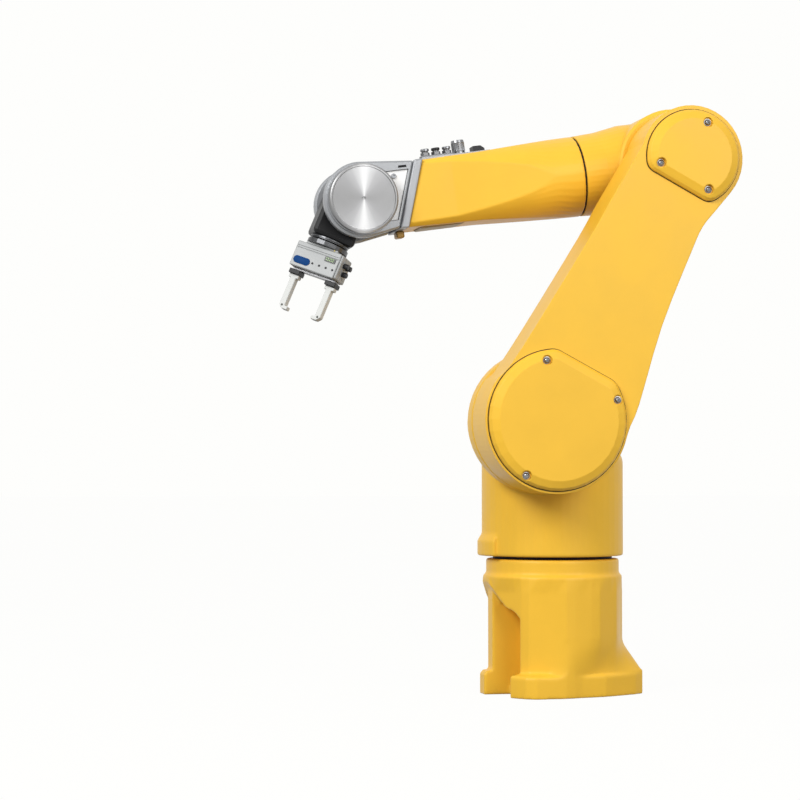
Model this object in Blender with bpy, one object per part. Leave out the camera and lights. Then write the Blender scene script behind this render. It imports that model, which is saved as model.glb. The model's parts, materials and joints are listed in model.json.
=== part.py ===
# Six-axis industrial robot arm with a small parallel gripper.
# Metres, +Z up. The origin is the middle of the base's underside, on the axis of joint 1.
# +X is the reach direction, and +Y is the side that carries the upper arm.

from math import acos, asin, cos, pi, radians, sin, tau

import bmesh
import bpy
from mathutils import Matrix, Vector

# Gaps and drawing steps
GAP = 0.0003
OVERRUN = 0.01
SIDES_LARGE = 48
SIDES_MEDIUM = 32
SIDES_SMALL = 16

# Skeleton: places of the joint axes and the pose that the arm holds
SHOULDER_OFFSET = 0.050
SHOULDER_HEIGHT = 0.4685
UPPER_ARM_LENGTH = 0.500
FOREARM_LENGTH = 0.546
UPPER_ARM_LEAN = radians(28.05)
FOREARM_DROOP = radians(8.2)
FOREARM_RISE = 0.0086
WRIST_TURN = radians(157.5)
TOOL_ROLL = radians(30.0)
FOREARM_SIDE = 0.045
TOOL_OFFSET = 0.016

# Base
BASE_RADIUS = 0.121
BASE_CORNER_RADIUS = 0.1235
BASE_HEIGHT = 0.2085
BASE_EDGE = 0.005
BASE_CORNER_ANGLES = (11.0, 54.0, 88.0, 114.0, 140.0, 172.0)
BASE_ROUND_DEPTH = 0.0305
BASE_ROUND_START = BASE_HEIGHT - BASE_ROUND_DEPTH
FOOT_HEIGHT = 0.038
FOOT_CHAMFER = 0.003
FOOT_FRONT = 0.126
FOOT_REAR = 0.148
FLARE_TOP = 0.088
FOOT_OUTLINE = ((FOOT_FRONT, 0.045), (0.082, 0.113), (0.067, 0.125), (0.020, 0.123), (-0.070, 0.100), (-FOOT_REAR, 0.055))
NECK_RADIUS = 0.1155
NECK_HEIGHT = 0.025
NECK_TOP = BASE_HEIGHT + NECK_HEIGHT
NECK_ROUND = 0.002
ARCH_HALF_WIDTH = 0.100
ARCH_CROWN = 0.0095
ARCH_RISE = 0.069
ARCH_TOP = BASE_HEIGHT - ARCH_CROWN
ARCH_SPRING = ARCH_TOP - ARCH_RISE
ARCH_DEPTH = 0.026
ARCH_DRAFT = 0.014
ARCH_DROP = 0.040
ARCH_STEPS = 16
ARCH_FACE = 0.1115
RIB_HALF_WIDTH = 0.018
POCKET_INNER = 0.050
POCKET_FLOOR = 0.014
POCKET_FLOOR_END = 0.079
BOLT_HOLE_RADIUS = 0.0065
FRONT_BOLT_X = 0.065
FRONT_BOLT_Y = 0.046
REAR_BOLT_X = -0.132
REAR_BOLT_Y = 0.034
REAR_POCKET_FACE = 0.108
REAR_POCKET_HALF_WIDTH = 0.048
REAR_POCKET_DIP = 0.003
REAR_POCKET_DROP = 0.0435
REAR_POCKET_HIGH = BASE_HEIGHT - REAR_POCKET_DROP
REAR_POCKET_LOW = FLARE_TOP - REAR_POCKET_DIP
PANEL_THICKNESS = 0.003
PANEL_MARGIN = 0.003
REAR_CONNECTOR_RADIUS = 0.015
REAR_CONNECTOR_DEPTH = 0.007
REAR_CONNECTOR_SPACING = 0.042
REAR_PANEL_TURN = radians(35.0)
TURN_GAP = 0.005
SEAL_INSET = 0.012
SPACER_INSET = 0.0015
SEAL_WIDTH = 0.018

# Shoulder casting, which turns on the base
COLUMN_RADIUS = 0.123
COLUMN_DROP = 0.0485
COLUMN_TOP = SHOULDER_HEIGHT - COLUMN_DROP
COLUMN_ROUND = 0.018
COLUMN_EDGE = 0.002
STOP_RADIUS = 0.1305
STOP_HALF_ANGLE = radians(25.0)
STOP_HEIGHT = 0.026
STOP_SLOPE = 0.016
STOP_STEPS = 8
DRUM_RADIUS = 0.122
DRUM_ROUND = 0.004
DRUM_FACE = 0.124
DRUM_FLANGE = 0.088
BARREL_RADIUS = 0.104
BARREL_MIDDLE = 0.010
MOTOR_RADIUS = 0.074
MOTOR_START = -0.080
MOTOR_REAR = -0.126
CAP_RADIUS = 0.064
CAP_DEPTH = 0.014
CAP_ROUND = 0.006

# Upper arm, in its own frame: x across, z along the link
ARM_INNER = DRUM_FACE + TURN_GAP
ARM_OUTER = 0.222
ARM_EDGE = 0.012
ARM_FOOT_BLEND = 0.050
FOOT_EDGE_SHARE = 0.3
ARM_FOOT_RADIUS = 0.122
ARM_HEAD_RADIUS = 0.088
ARM_BACK_SHARES = (0.10, 0.18, 0.45, 0.72, 0.81, 0.88)
ARM_BACK_WIDTHS = (0.1150, 0.1115, 0.0852, 0.0722, 0.0700, 0.0770)
ARM_FRONT_SHARES = (0.88, 0.74, 0.60, 0.24, 0.08)
ARM_FRONT_WIDTHS = (0.0870, 0.0905, 0.0925, 0.1050, 0.1130)
CURVE_STEPS = 3
ARC_STEPS = 24
COVER_SEAT = 0.004
COVER_RISE = 0.010
SHOULDER_COVER_RADIUS = 0.117
SHOULDER_COVER_CHORD = 0.1025
SHOULDER_COVER_CORNER = 0.030
ELBOW_COVER_RADIUS = 0.080
ELBOW_COVER_CHORD = -0.054
ELBOW_COVER_CORNER = 0.022
COVER_DOME = 0.016
COVER_EDGE = 0.004
SCREW_POCKET_RADIUS = 0.0085
SCREW_POCKET_DEPTH = 0.006
SHOULDER_SCREWS = ((0.064, 0.077), (-0.073, 0.077), (0.006, -0.107))
ELBOW_SCREWS = ((0.007, 0.062), (0.046, -0.038), (-0.047, -0.037))

# Elbow housing, in the forearm's frame: x along the forearm
ELBOW_RADIUS = 0.097
ELBOW_ROUND = 0.012
ELBOW_FACE = ARM_INNER - TURN_GAP
ELBOW_REAR = -0.034
ELBOW_CAP_RADIUS = 0.078
ELBOW_CAP_DEPTH = 0.014
NECK_COLLAR_END = 0.072
TUBE_RADIUS = 0.0693
NECK_MIDDLE = 0.115
NECK_MIDDLE_RADIUS = 0.0715
ELBOW_NECK_END = 0.1535
ROLL_GAP = 0.003

# Forearm shell
NOSE_SETBACK = 0.094
NOSE_END = FOREARM_LENGTH - NOSE_SETBACK
NOSE_HALF_HEIGHT = 0.0555
NOSE_HALF_WIDTH = 0.056
NOSE_RADIUS = 0.0745
NOSE_SLANT = 0.35
SHELL_STATION_SHARES = (0.0, 0.04, 0.18, 0.32, 0.45, 0.60, 0.77, 0.90, 1.0)
WAIST_HALF_HEIGHT = 0.0585
WAIST_SHARE = 0.60
FLAT_START_SHARE = 0.18
FLAT_END_SHARE = 0.77
FLAT_LEAST = radians(2.0)
FLAT_STEPS = 2
CORNER_STEPS = 8
KEEL_SETBACK = 0.006
KEEL_LENGTH = 0.076
KEEL_END = NOSE_END - KEEL_SETBACK
KEEL_START = KEEL_END - KEEL_LENGTH
KEEL_DEPTH = 0.0032
KEEL_SEAT = 0.003
KEEL_HALF_WIDTH = 0.030
DECK_SETBACK = 0.024
DECK_LENGTH = 0.120
DECK_END = NOSE_END - DECK_SETBACK
DECK_START = DECK_END - DECK_LENGTH
DECK_HALF_WIDTH = 0.034
DECK_THICKNESS = 0.004
DECK_TOP = 0.061
FITTING_RADIUS = 0.0055
FITTING_HEIGHT = 0.009
FITTING_SPACING = 0.019
FITTING_WAIST_SHARE = 0.75
MANIFOLD_HEIGHT = 0.003
ROUND_CONNECTOR_RADIUS = 0.0115
ROUND_CONNECTOR_HEIGHT = 0.018
PLUG_LENGTH = 0.020
PLUG_WIDTH = 0.026
PLUG_HEIGHT = 0.011

# Wrist fork
PLATE_THICKNESS = 0.015
PLATE_PROUD = 0.001
PLATE_EDGE = 0.0025
FORK_INNER = 0.0400
FORK_OUTER = 0.0590
FORK_RADIUS = 0.0640
FORK_ROOT_HALF_HEIGHT = 0.055
FORK_EDGE = 0.003
EYE_OUTER = 0.0690
EYE_RADIUS = 0.0600
FORK_WEB_SETBACK = 0.072
FORK_WEB_START = FOREARM_LENGTH - FORK_WEB_SETBACK
FORK_WEB_HALF_HEIGHT = 0.042
FORK_WEB_DEPTH = 0.007
DISC_RADIUS = 0.0550
DISC_RIM = 0.0585
DISC_THICKNESS = 0.013
DISC_FACE_DROP = 0.0012
LATCH_LENGTH = 0.014
LATCH_WIDTH = 0.024
LATCH_HEIGHT = 0.012

# Wrist housing and tool flange, in the wrist's frame: z along the tool axis
HOUSING_RADIUS = 0.0465
HOUSING_HALF_WIDTH = 0.0350
TRUNNION_RADIUS = 0.026
HOUSING_NECK_HALF = 0.0375
HOUSING_NECK_DEPTH = 0.034
HOUSING_END = 0.078
HOUSING_EDGE = 0.006
HUB_RADIUS = 0.034
HUB_END = 0.081
FLANGE_START = 0.0825
FLANGE_END = 0.0925
FLANGE_RADIUS = 0.036
FLANGE_STEP = 0.003

# Gripper, in the tool's frame: x along its length, y to its front, z along the tool axis
ADAPTER_THICKNESS = 0.003
ADAPTER_RADIUS = 0.030
GRIPPER_LENGTH = 0.088
GRIPPER_DEPTH = 0.046
GRIPPER_HEIGHT = 0.044
GRIPPER_EDGE = 0.0015
GROOVE_WIDTH = 0.002
GROOVE_DEPTH = 0.0015
GROOVE_HEIGHT_SHARES = (0.16, 0.24)
END_PANEL_THICKNESS = 0.004
END_PANEL_INSET = 0.001
GRIPPER_PLUG_RADIUS = 0.0045
GRIPPER_PLUG_LENGTH = 0.009
DISPLAY_WIDTH = 0.020
DISPLAY_HEIGHT = 0.008
DISPLAY_DEPTH = 0.001
DISPLAY_PLACE = (0.014, 0.012)
RAIL_HEIGHT = 0.003
RAIL_WIDTH = 0.018
CARRIER_LENGTH = 0.020
CARRIER_WIDTH = 0.024
CARRIER_HEIGHT = 0.008
CARRIER_STEP = 0.004
JAW_CENTRE = 0.0345
FINGER_THICKNESS = 0.010
FINGER_WIDTH = 0.014
FINGER_LENGTH = 0.062
FINGER_FOOT = 0.018
FINGER_FOOT_HEIGHT = 0.006
HOOK_REACH = 0.006
HOOK_HEIGHT = 0.006
TIP_CHAMFER = 0.006
FINGER_HOLE_RADIUS = 0.002

# Finishes: colour, roughness, metallic
YELLOW = ("yellow_paint", (0.88, 0.50, 0.075), 0.38, 0.0)
DARK_SEAL = ("black_seal", (0.02, 0.02, 0.022), 0.6, 0.0)
BLACK = ("black_housing", (0.022, 0.022, 0.024), 0.45, 0.0)
BLACK_PLASTIC = ("black_plastic", (0.022, 0.022, 0.024), 0.6, 0.0)
CAST_GREY = ("grey_cast", (0.48, 0.49, 0.51), 0.45, 0.7)
TURNED = ("turned_aluminium", (0.62, 0.62, 0.63), 0.28, 1.0)
STEEL = ("bright_steel", (0.60, 0.61, 0.62), 0.22, 1.0)
ANODISED = ("clear_anodised", (0.60, 0.61, 0.62), 0.42, 0.55)
FINGER_GREY = ("finger_grey", (0.66, 0.68, 0.66), 0.5, 0.1)
BRONZE = ("bronze_latch", (0.36, 0.24, 0.08), 0.45, 0.6)
GLASS = ("dark_display", (0.015, 0.02, 0.016), 0.15, 0.0)

AXIS_TURNS = {
    "X": Matrix.Rotation(pi / 2, 4, "Y"),
    "Y": Matrix.Rotation(-pi / 2, 4, "X"),
    "Z": Matrix.Identity(4),
}


# Scene and material helpers
def clear_scene():
    for item in list(bpy.data.objects):
        bpy.data.objects.remove(item, do_unlink=True)


def material(finish):
    name, colour, roughness, metallic = finish
    found = bpy.data.materials.get(name)
    if found:
        return found
    made = bpy.data.materials.new(name)
    made.use_nodes = True
    shader = made.node_tree.nodes["Principled BSDF"]
    shader.inputs["Base Color"].default_value = (*colour, 1.0)
    shader.inputs["Roughness"].default_value = roughness
    shader.inputs["Metallic"].default_value = metallic
    return made


def frame(name, place, turn_y=0.0, turn_z=0.0, parent=None):
    made = bpy.data.objects.new(name, None)
    bpy.context.scene.collection.objects.link(made)
    made.parent = parent
    made.location = place
    made.rotation_euler = (0.0, turn_y, turn_z)
    return made


def finish_mesh(name, shape, finish, parent):
    bmesh.ops.remove_doubles(shape, verts=shape.verts, dist=1e-6)
    bmesh.ops.recalc_face_normals(shape, faces=shape.faces)
    mesh = bpy.data.meshes.new(name)
    shape.to_mesh(mesh)
    shape.free()
    mesh.shade_smooth()
    mesh.set_sharp_from_angle(angle=radians(32.0))
    made = bpy.data.objects.new(name, mesh)
    bpy.context.scene.collection.objects.link(made)
    made.parent = parent
    made.data.materials.append(material(finish))
    return made


def as_cutter(item):
    item.hide_render = True
    item.display_type = "WIRE"
    return item


def boolean(item, tool, operation):
    modifier = item.modifiers.new(operation.lower(), "BOOLEAN")
    modifier.operation = operation
    modifier.solver = "EXACT"
    modifier.object = as_cutter(tool)
    return item


def cut(item, *tools):
    for tool in tools:
        boolean(item, tool, "DIFFERENCE")
    return item


def fuse(item, *tools):
    for tool in tools:
        boolean(item, tool, "UNION")
    return item


def bevel(item, width, segments=2, limit=radians(35.0)):
    modifier = item.modifiers.new("edge", "BEVEL")
    modifier.width = width
    modifier.segments = segments
    modifier.limit_method = "ANGLE"
    modifier.angle_limit = limit
    return item


# Shape helpers
def oriented(first, second, height, axis):
    if axis == "X":
        return (height, first, second)
    if axis == "Y":
        return (first, height, second)
    return (first, second, height)


def add_prism(shape, outline, low, high, axis):
    corners = [shape.verts.new(oriented(a, b, low, axis)) for a, b in outline]
    face = shape.faces.new(corners)
    moved = bmesh.ops.extrude_face_region(shape, geom=[face])
    tops = [part for part in moved["geom"] if isinstance(part, bmesh.types.BMVert)]
    bmesh.ops.translate(shape, verts=tops, vec=Vector(oriented(0.0, 0.0, high - low, axis)))


def prism(name, outline, low, high, axis, finish, parent):
    shape = bmesh.new()
    add_prism(shape, outline, low, high, axis)
    return finish_mesh(name, shape, finish, parent)


def add_turned(shape, profile, sides, axis, centre):
    placed = Matrix.Translation(centre) @ AXIS_TURNS[axis]
    points = [shape.verts.new(placed @ Vector((radius, 0.0, height))) for radius, height in profile]
    edges = [shape.edges.new(pair) for pair in zip(points, points[1:])]
    spin_axis = (placed.to_3x3() @ Vector((0.0, 0.0, 1.0))).normalized()
    bmesh.ops.spin(
        shape,
        geom=points + edges,
        cent=centre,
        axis=spin_axis,
        angle=tau,
        steps=sides,
        use_merge=True,
    )


def turned(name, profile, sides, axis, centre, finish, parent):
    shape = bmesh.new()
    add_turned(shape, profile, sides, axis, Vector(centre))
    return finish_mesh(name, shape, finish, parent)


def lofted(name, rings, finish, parent):
    shape = bmesh.new()
    loops = [[shape.verts.new(point) for point in ring] for ring in rings]
    count = len(loops[0])
    shape.faces.new(loops[0])
    shape.faces.new(loops[-1])
    for lower, upper in zip(loops, loops[1:]):
        for index in range(count):
            following = (index + 1) % count
            shape.faces.new((lower[index], lower[following], upper[following], upper[index]))
    return finish_mesh(name, shape, finish, parent)


def rectangle(low_a, high_a, low_b, high_b):
    return [(low_a, low_b), (high_a, low_b), (high_a, high_b), (low_a, high_b)]


def mirrored_outline(half):
    return list(half) + [(x, -y) for x, y in reversed(half)]


def arc(centre, radius, start, end, steps):
    turns = [start + (end - start) * index / steps for index in range(steps + 1)]
    return [(centre[0] + radius * cos(turn), centre[1] + radius * sin(turn)) for turn in turns]


def smooth_path(points, steps):
    path = []
    for index in range(1, len(points) - 2):
        before, start, end, after = points[index - 1 : index + 3]
        for step in range(steps):
            share = step / steps
            path.append(tuple(curve_value(*values, share) for values in zip(before, start, end, after)))
    path.append(points[-2])
    return path


def curve_value(before, start, end, after, share):
    slope_in = (end - before) / 2
    slope_out = (after - start) / 2
    square = share * share
    cube = square * share
    rise = 3 * square - 2 * cube
    return start + (end - start) * rise + slope_in * (cube - 2 * square + share) + slope_out * (cube - square)


def ray_radius(outline, angle):
    direction = (cos(angle), sin(angle))
    for (ax, ay), (bx, by) in zip(outline, outline[1:] + outline[:1]):
        ex, ey = bx - ax, by - ay
        across = direction[0] * ey - direction[1] * ex
        if abs(across) < 1e-9:
            continue
        distance = (ax * ey - ay * ex) / across
        along = (ax * direction[1] - ay * direction[0]) / across
        if distance > 0.0 and -1e-9 <= along <= 1.0 + 1e-9:
            return distance
    return 0.0


# Base
def base_polygon():
    half = [(BASE_CORNER_RADIUS * cos(radians(a)), BASE_CORNER_RADIUS * sin(radians(a))) for a in BASE_CORNER_ANGLES]
    return mirrored_outline(half)


def base_ring(outline, round_share, height, inset=0.0, floor=None):
    ring = []
    for index in range(SIDES_LARGE):
        angle = tau * (index + 0.5) / SIDES_LARGE
        radius = ray_radius(outline, angle) * (1.0 - round_share) + BASE_RADIUS * round_share - inset
        if floor:
            radius = max(radius, ray_radius(floor, angle))
        ring.append((radius * cos(angle), radius * sin(angle), height))
    return ring


def flare_outline():
    corners = base_polygon()
    rear = [(x, y) for x, y in corners if x > -FOOT_REAR / 3]
    upper = [point for point in rear if point[1] > 0.0]
    return mirrored_outline(upper + [FOOT_OUTLINE[-1]])


def arch_ring(x, half, top):
    rise = top - ARCH_SPRING
    turns = [pi * index / ARCH_STEPS for index in range(ARCH_STEPS + 1)]
    curve = [(x, half * cos(turn), ARCH_SPRING + rise * sin(turn)) for turn in turns]
    return [(x, half, -OVERRUN), *curve, (x, -half, -OVERRUN)]


def arch_body(parent):
    # The recess narrows and sinks towards its back, so its roof slopes.
    back = BASE_CORNER_RADIUS - ARCH_DEPTH
    slope = (FOOT_FRONT + OVERRUN - BASE_CORNER_RADIUS) / ARCH_DEPTH
    narrow = ARCH_HALF_WIDTH - ARCH_DRAFT
    low = ARCH_TOP - ARCH_DROP
    rings = [
        arch_ring(POCKET_INNER - OVERRUN, narrow, low),
        arch_ring(back, narrow, low),
        arch_ring(FOOT_FRONT + OVERRUN, ARCH_HALF_WIDTH + ARCH_DRAFT * slope, ARCH_TOP + ARCH_DROP * slope),
    ]
    return lofted("arch_cutter", rings, YELLOW, parent)


def recess_cutter(parent):
    end = FOOT_FRONT + 2 * OVERRUN
    wide = 2 * ARCH_HALF_WIDTH
    low = FOOT_HEIGHT + FOOT_CHAMFER
    cutter = prism(
        "recess_cutter", rectangle(ARCH_FACE, end, -wide, wide), low, BASE_HEIGHT + OVERRUN, "Z", YELLOW, parent
    )
    for name, side in (("left", 1.0), ("right", -1.0)):
        across = sorted((side * RIB_HALF_WIDTH, side * (wide + OVERRUN)))
        above = rectangle(POCKET_INNER, end + OVERRUN, *across)
        upper = prism("pocket_" + name, above, POCKET_FLOOR, BASE_HEIGHT + 2 * OVERRUN, "Z", YELLOW, parent)
        below = rectangle(POCKET_FLOOR_END, end + 2 * OVERRUN, *across)
        lower = prism("notch_" + name, below, -2 * OVERRUN, BASE_HEIGHT / 2, "Z", YELLOW, parent)
        fuse(cutter, upper, lower)
    return boolean(cutter, arch_body(parent), "INTERSECT")


def base_casting(parent, panel_frame):
    foot = mirrored_outline(FOOT_OUTLINE)
    rings = [
        base_ring(foot, 0.0, 0.0, 0.0, flare_outline()),
        base_ring(foot, 0.0, FOOT_HEIGHT - FOOT_CHAMFER, 0.0, flare_outline()),
        base_ring(foot, 0.0, FOOT_HEIGHT, FOOT_CHAMFER, flare_outline()),
        base_ring(flare_outline(), 0.0, FOOT_HEIGHT + FOOT_CHAMFER),
        base_ring(base_polygon(), 0.0, FLARE_TOP),
        base_ring(base_polygon(), 0.0, BASE_ROUND_START),
        base_ring(base_polygon(), 1.0, BASE_HEIGHT - BASE_EDGE),
        base_ring(base_polygon(), 1.0, BASE_HEIGHT, BASE_EDGE),
        circle_ring(NECK_RADIUS, BASE_HEIGHT),
        circle_ring(NECK_RADIUS, NECK_TOP - NECK_ROUND),
        circle_ring(NECK_RADIUS - NECK_ROUND, NECK_TOP),
    ]
    casting = lofted("base_casting", rings, YELLOW, parent)
    rear = prism(
        "rear_pocket_cutter",
        rectangle(-REAR_POCKET_HALF_WIDTH, REAR_POCKET_HALF_WIDTH, REAR_POCKET_LOW, REAR_POCKET_HIGH),
        -FOOT_REAR,
        -REAR_POCKET_FACE,
        "X",
        YELLOW,
        panel_frame,
    )
    return cut(casting, recess_cutter(parent), rear, bolt_holes(parent))


def circle_ring(radius, height):
    turns = [tau * (index + 0.5) / SIDES_LARGE for index in range(SIDES_LARGE)]
    return [(radius * cos(turn), radius * sin(turn), height) for turn in turns]


def bolt_holes(parent):
    shape = bmesh.new()
    profile = [(0.0, -OVERRUN), (BOLT_HOLE_RADIUS, -OVERRUN)]
    profile += [(BOLT_HOLE_RADIUS, FOOT_HEIGHT + OVERRUN), (0.0, FOOT_HEIGHT + OVERRUN)]
    for x, y in ((FRONT_BOLT_X, FRONT_BOLT_Y), (REAR_BOLT_X, REAR_BOLT_Y)):
        for side in (1.0, -1.0):
            add_turned(shape, profile, SIDES_SMALL, "Z", Vector((x, side * y, 0.0)))
    return finish_mesh("bolt_hole_cutter", shape, YELLOW, parent)


def rear_panel(parent):
    face = -REAR_POCKET_FACE - GAP
    half = REAR_POCKET_HALF_WIDTH - PANEL_MARGIN
    outline = rectangle(-half, half, REAR_POCKET_LOW + PANEL_MARGIN, REAR_POCKET_HIGH - PANEL_MARGIN)
    return prism("rear_panel", outline, face - PANEL_THICKNESS, face, "X", CAST_GREY, parent)


def rear_connector(name, side, parent):
    face = -REAR_POCKET_FACE - PANEL_THICKNESS - 2 * GAP
    height = (REAR_POCKET_LOW + REAR_POCKET_HIGH) / 2
    inner = REAR_CONNECTOR_RADIUS - PANEL_MARGIN
    profile = [
        (0.0, 0.0),
        (REAR_CONNECTOR_RADIUS, 0.0),
        (REAR_CONNECTOR_RADIUS, -REAR_CONNECTOR_DEPTH),
        (inner, -REAR_CONNECTOR_DEPTH),
        (inner, -PANEL_MARGIN),
        (0.0, -PANEL_MARGIN),
    ]
    centre = (face, side * REAR_CONNECTOR_SPACING / 2, height)
    return turned(name, profile, SIDES_SMALL, "X", centre, BLACK_PLASTIC, parent)


def seal_ring(name, outer, low, high, axis, centre, parent, finish=DARK_SEAL):
    inner = outer - SEAL_WIDTH
    profile = [(inner, low), (outer, low), (outer, high), (inner, high), (inner, low)]
    return turned(name, profile, SIDES_LARGE, axis, centre, finish, parent)


def base_seal_ring(parent):
    outer = NECK_RADIUS - SEAL_INSET
    low = NECK_TOP + GAP
    return seal_ring("base_seal_ring", outer, low, NECK_TOP + TURN_GAP - GAP, "Z", (0.0, 0.0, 0.0), parent)


# Shoulder casting
def shoulder_casting(parent):
    low = NECK_TOP + TURN_GAP
    profile = [
        (0.0, low),
        (COLUMN_RADIUS - COLUMN_EDGE, low),
        (COLUMN_RADIUS, low + COLUMN_EDGE),
        *[
            (COLUMN_RADIUS - COLUMN_ROUND + r, COLUMN_TOP - COLUMN_ROUND + z)
            for r, z in arc((0.0, 0.0), COLUMN_ROUND, 0.0, pi / 2, 3)
        ],
        (0.0, COLUMN_TOP),
    ]
    column = turned("shoulder_casting", profile, SIDES_LARGE, "Z", (0.0, 0.0, 0.0), YELLOW, parent)
    centre = (SHOULDER_OFFSET, 0.0, SHOULDER_HEIGHT)
    drum_profile = [
        (0.0, MOTOR_REAR),
        (MOTOR_RADIUS - DRUM_ROUND, MOTOR_REAR),
        (MOTOR_RADIUS, MOTOR_REAR + DRUM_ROUND),
        (MOTOR_RADIUS, MOTOR_START),
        (BARREL_RADIUS, BARREL_MIDDLE),
        (BARREL_RADIUS, DRUM_FLANGE - DRUM_RADIUS + BARREL_RADIUS),
        (DRUM_RADIUS, DRUM_FLANGE),
        (DRUM_RADIUS, DRUM_FACE - DRUM_ROUND),
        (DRUM_RADIUS - DRUM_ROUND, DRUM_FACE),
        (0.0, DRUM_FACE),
    ]
    drum = turned("shoulder_drum", drum_profile, SIDES_LARGE, "Y", centre, YELLOW, parent)
    return fuse(column, drum, stop_block(low, parent))


def stop_ring(radius, height):
    inner = COLUMN_RADIUS / 2
    sector = arc((0.0, 0.0), radius, -STOP_HALF_ANGLE, STOP_HALF_ANGLE, STOP_STEPS)
    ends = arc((0.0, 0.0), inner, STOP_HALF_ANGLE, -STOP_HALF_ANGLE, 1)
    return [(x, y, height) for x, y in sector + ends]


def stop_block(low, parent):
    middle = low + STOP_HEIGHT
    rings = [
        stop_ring(STOP_RADIUS, low),
        stop_ring(STOP_RADIUS, middle),
        stop_ring(COLUMN_RADIUS - COLUMN_EDGE, middle + STOP_SLOPE),
    ]
    return lofted("stop_block", rings, YELLOW, parent)


def shoulder_back_cap(parent):
    start = MOTOR_REAR - GAP
    profile = [
        (0.0, start),
        (CAP_RADIUS, start),
        (CAP_RADIUS, start - CAP_DEPTH + CAP_ROUND),
        (CAP_RADIUS - CAP_ROUND, start - CAP_DEPTH),
        (0.0, start - CAP_DEPTH),
    ]
    centre = (SHOULDER_OFFSET, 0.0, SHOULDER_HEIGHT)
    return turned("shoulder_back_cap", profile, SIDES_MEDIUM, "Y", centre, YELLOW, parent)


def shoulder_seal_ring(parent):
    centre = (SHOULDER_OFFSET, 0.0, SHOULDER_HEIGHT)
    outer = ARM_FOOT_RADIUS - SPACER_INSET
    low = DRUM_FACE + GAP
    return seal_ring("shoulder_seal_ring", outer, low, ARM_INNER - GAP, "Y", centre, parent, YELLOW)


# Upper arm
def arm_outline():
    length = UPPER_ARM_LENGTH
    back = [(-width, share * length) for share, width in zip(ARM_BACK_SHARES, ARM_BACK_WIDTHS)]
    front = [(width, share * length) for share, width in zip(ARM_FRONT_SHARES, ARM_FRONT_WIDTHS)]
    foot = arc((0.0, 0.0), ARM_FOOT_RADIUS, radians(6.0), radians(-194.0), 2 * ARC_STEPS)
    head = arc((0.0, length), ARM_HEAD_RADIUS, radians(192.0), radians(-14.0), ARC_STEPS)
    rising = smooth_path([foot[-2], foot[-1], *back, head[0], head[1]], CURVE_STEPS)
    falling = smooth_path([head[-2], head[-1], *front, foot[0], foot[1]], CURVE_STEPS)
    return foot[1:-1] + rising + head[1:-1] + falling


def upper_arm_casting(parent):
    casting = prism("upper_arm_casting", arm_outline(), ARM_INNER, ARM_OUTER, "Y", YELLOW, parent)
    mesh = casting.data
    weights = mesh.attributes.new("bevel_weight_edge", "FLOAT", "EDGE")
    middle = (ARM_INNER + ARM_OUTER) / 2
    for edge in mesh.edges:
        start, end = [mesh.vertices[index].co for index in edge.vertices]
        if abs(start.y - end.y) > GAP:
            continue
        outer_edge = start.y > middle
        at_foot = (start.z + end.z) / 2 < ARM_FOOT_BLEND
        weights.data[edge.index].value = FOOT_EDGE_SHARE if at_foot or not outer_edge else 1.0
    rounded = bevel(casting, ARM_EDGE, 2)
    rounded.modifiers["edge"].limit_method = "WEIGHT"
    return rounded


def cover_outline(centre_z, radius, chord, corner, shrink=0.0):
    # A round lid cut by a straight edge, whose two corners are rounded.
    size = radius - shrink
    offset = abs(chord) - shrink
    round_size = corner - shrink / 2
    reach = size - round_size
    rise = offset - round_size
    turn = asin(rise / reach)
    middle = (reach * cos(turn), rise)
    corner_arc = arc(middle, round_size, pi / 2, turn, 4)
    side = arc((0.0, 0.0), size, turn, -pi / 2, ARC_STEPS // 2 + 2)
    half = corner_arc + side[1:]
    whole = half + [(-x, z) for x, z in reversed(half[:-1])]
    flip = 1.0 if chord > 0.0 else -1.0
    return [(x, centre_z + flip * z) for x, z in whole]


def cover(name, centre_z, radius, chord, corner, screws, parent):
    low = ARM_OUTER + GAP
    stations = [(0.0, low), (0.0, low + COVER_SEAT), (COVER_EDGE, low + COVER_SEAT + COVER_RISE / 2)]
    stations += [(COVER_DOME, low + COVER_SEAT + COVER_RISE)]
    rings = []
    for shrink, y in stations:
        outline = cover_outline(centre_z, radius, chord, corner, shrink)
        rings.append([(x, y, z) for x, z in outline])
    lid = lofted(name, rings, YELLOW, parent)
    pockets = bmesh.new()
    top = low + COVER_SEAT + COVER_RISE
    profile = [
        (0.0, -SCREW_POCKET_DEPTH),
        (SCREW_POCKET_RADIUS, -SCREW_POCKET_DEPTH),
        (SCREW_POCKET_RADIUS, OVERRUN),
        (0.0, OVERRUN),
    ]
    for x, z in screws:
        add_turned(pockets, profile, SIDES_SMALL, "Y", Vector((x, top, centre_z + z)))
    return cut(lid, finish_mesh(name + "_pockets", pockets, YELLOW, parent))


def shoulder_cover(parent):
    return cover(
        "shoulder_cover",
        0.0,
        SHOULDER_COVER_RADIUS,
        SHOULDER_COVER_CHORD,
        SHOULDER_COVER_CORNER,
        SHOULDER_SCREWS,
        parent,
    )


def elbow_cover(parent):
    return cover(
        "elbow_cover",
        UPPER_ARM_LENGTH,
        ELBOW_COVER_RADIUS,
        ELBOW_COVER_CHORD,
        ELBOW_COVER_CORNER,
        ELBOW_SCREWS,
        parent,
    )


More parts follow.
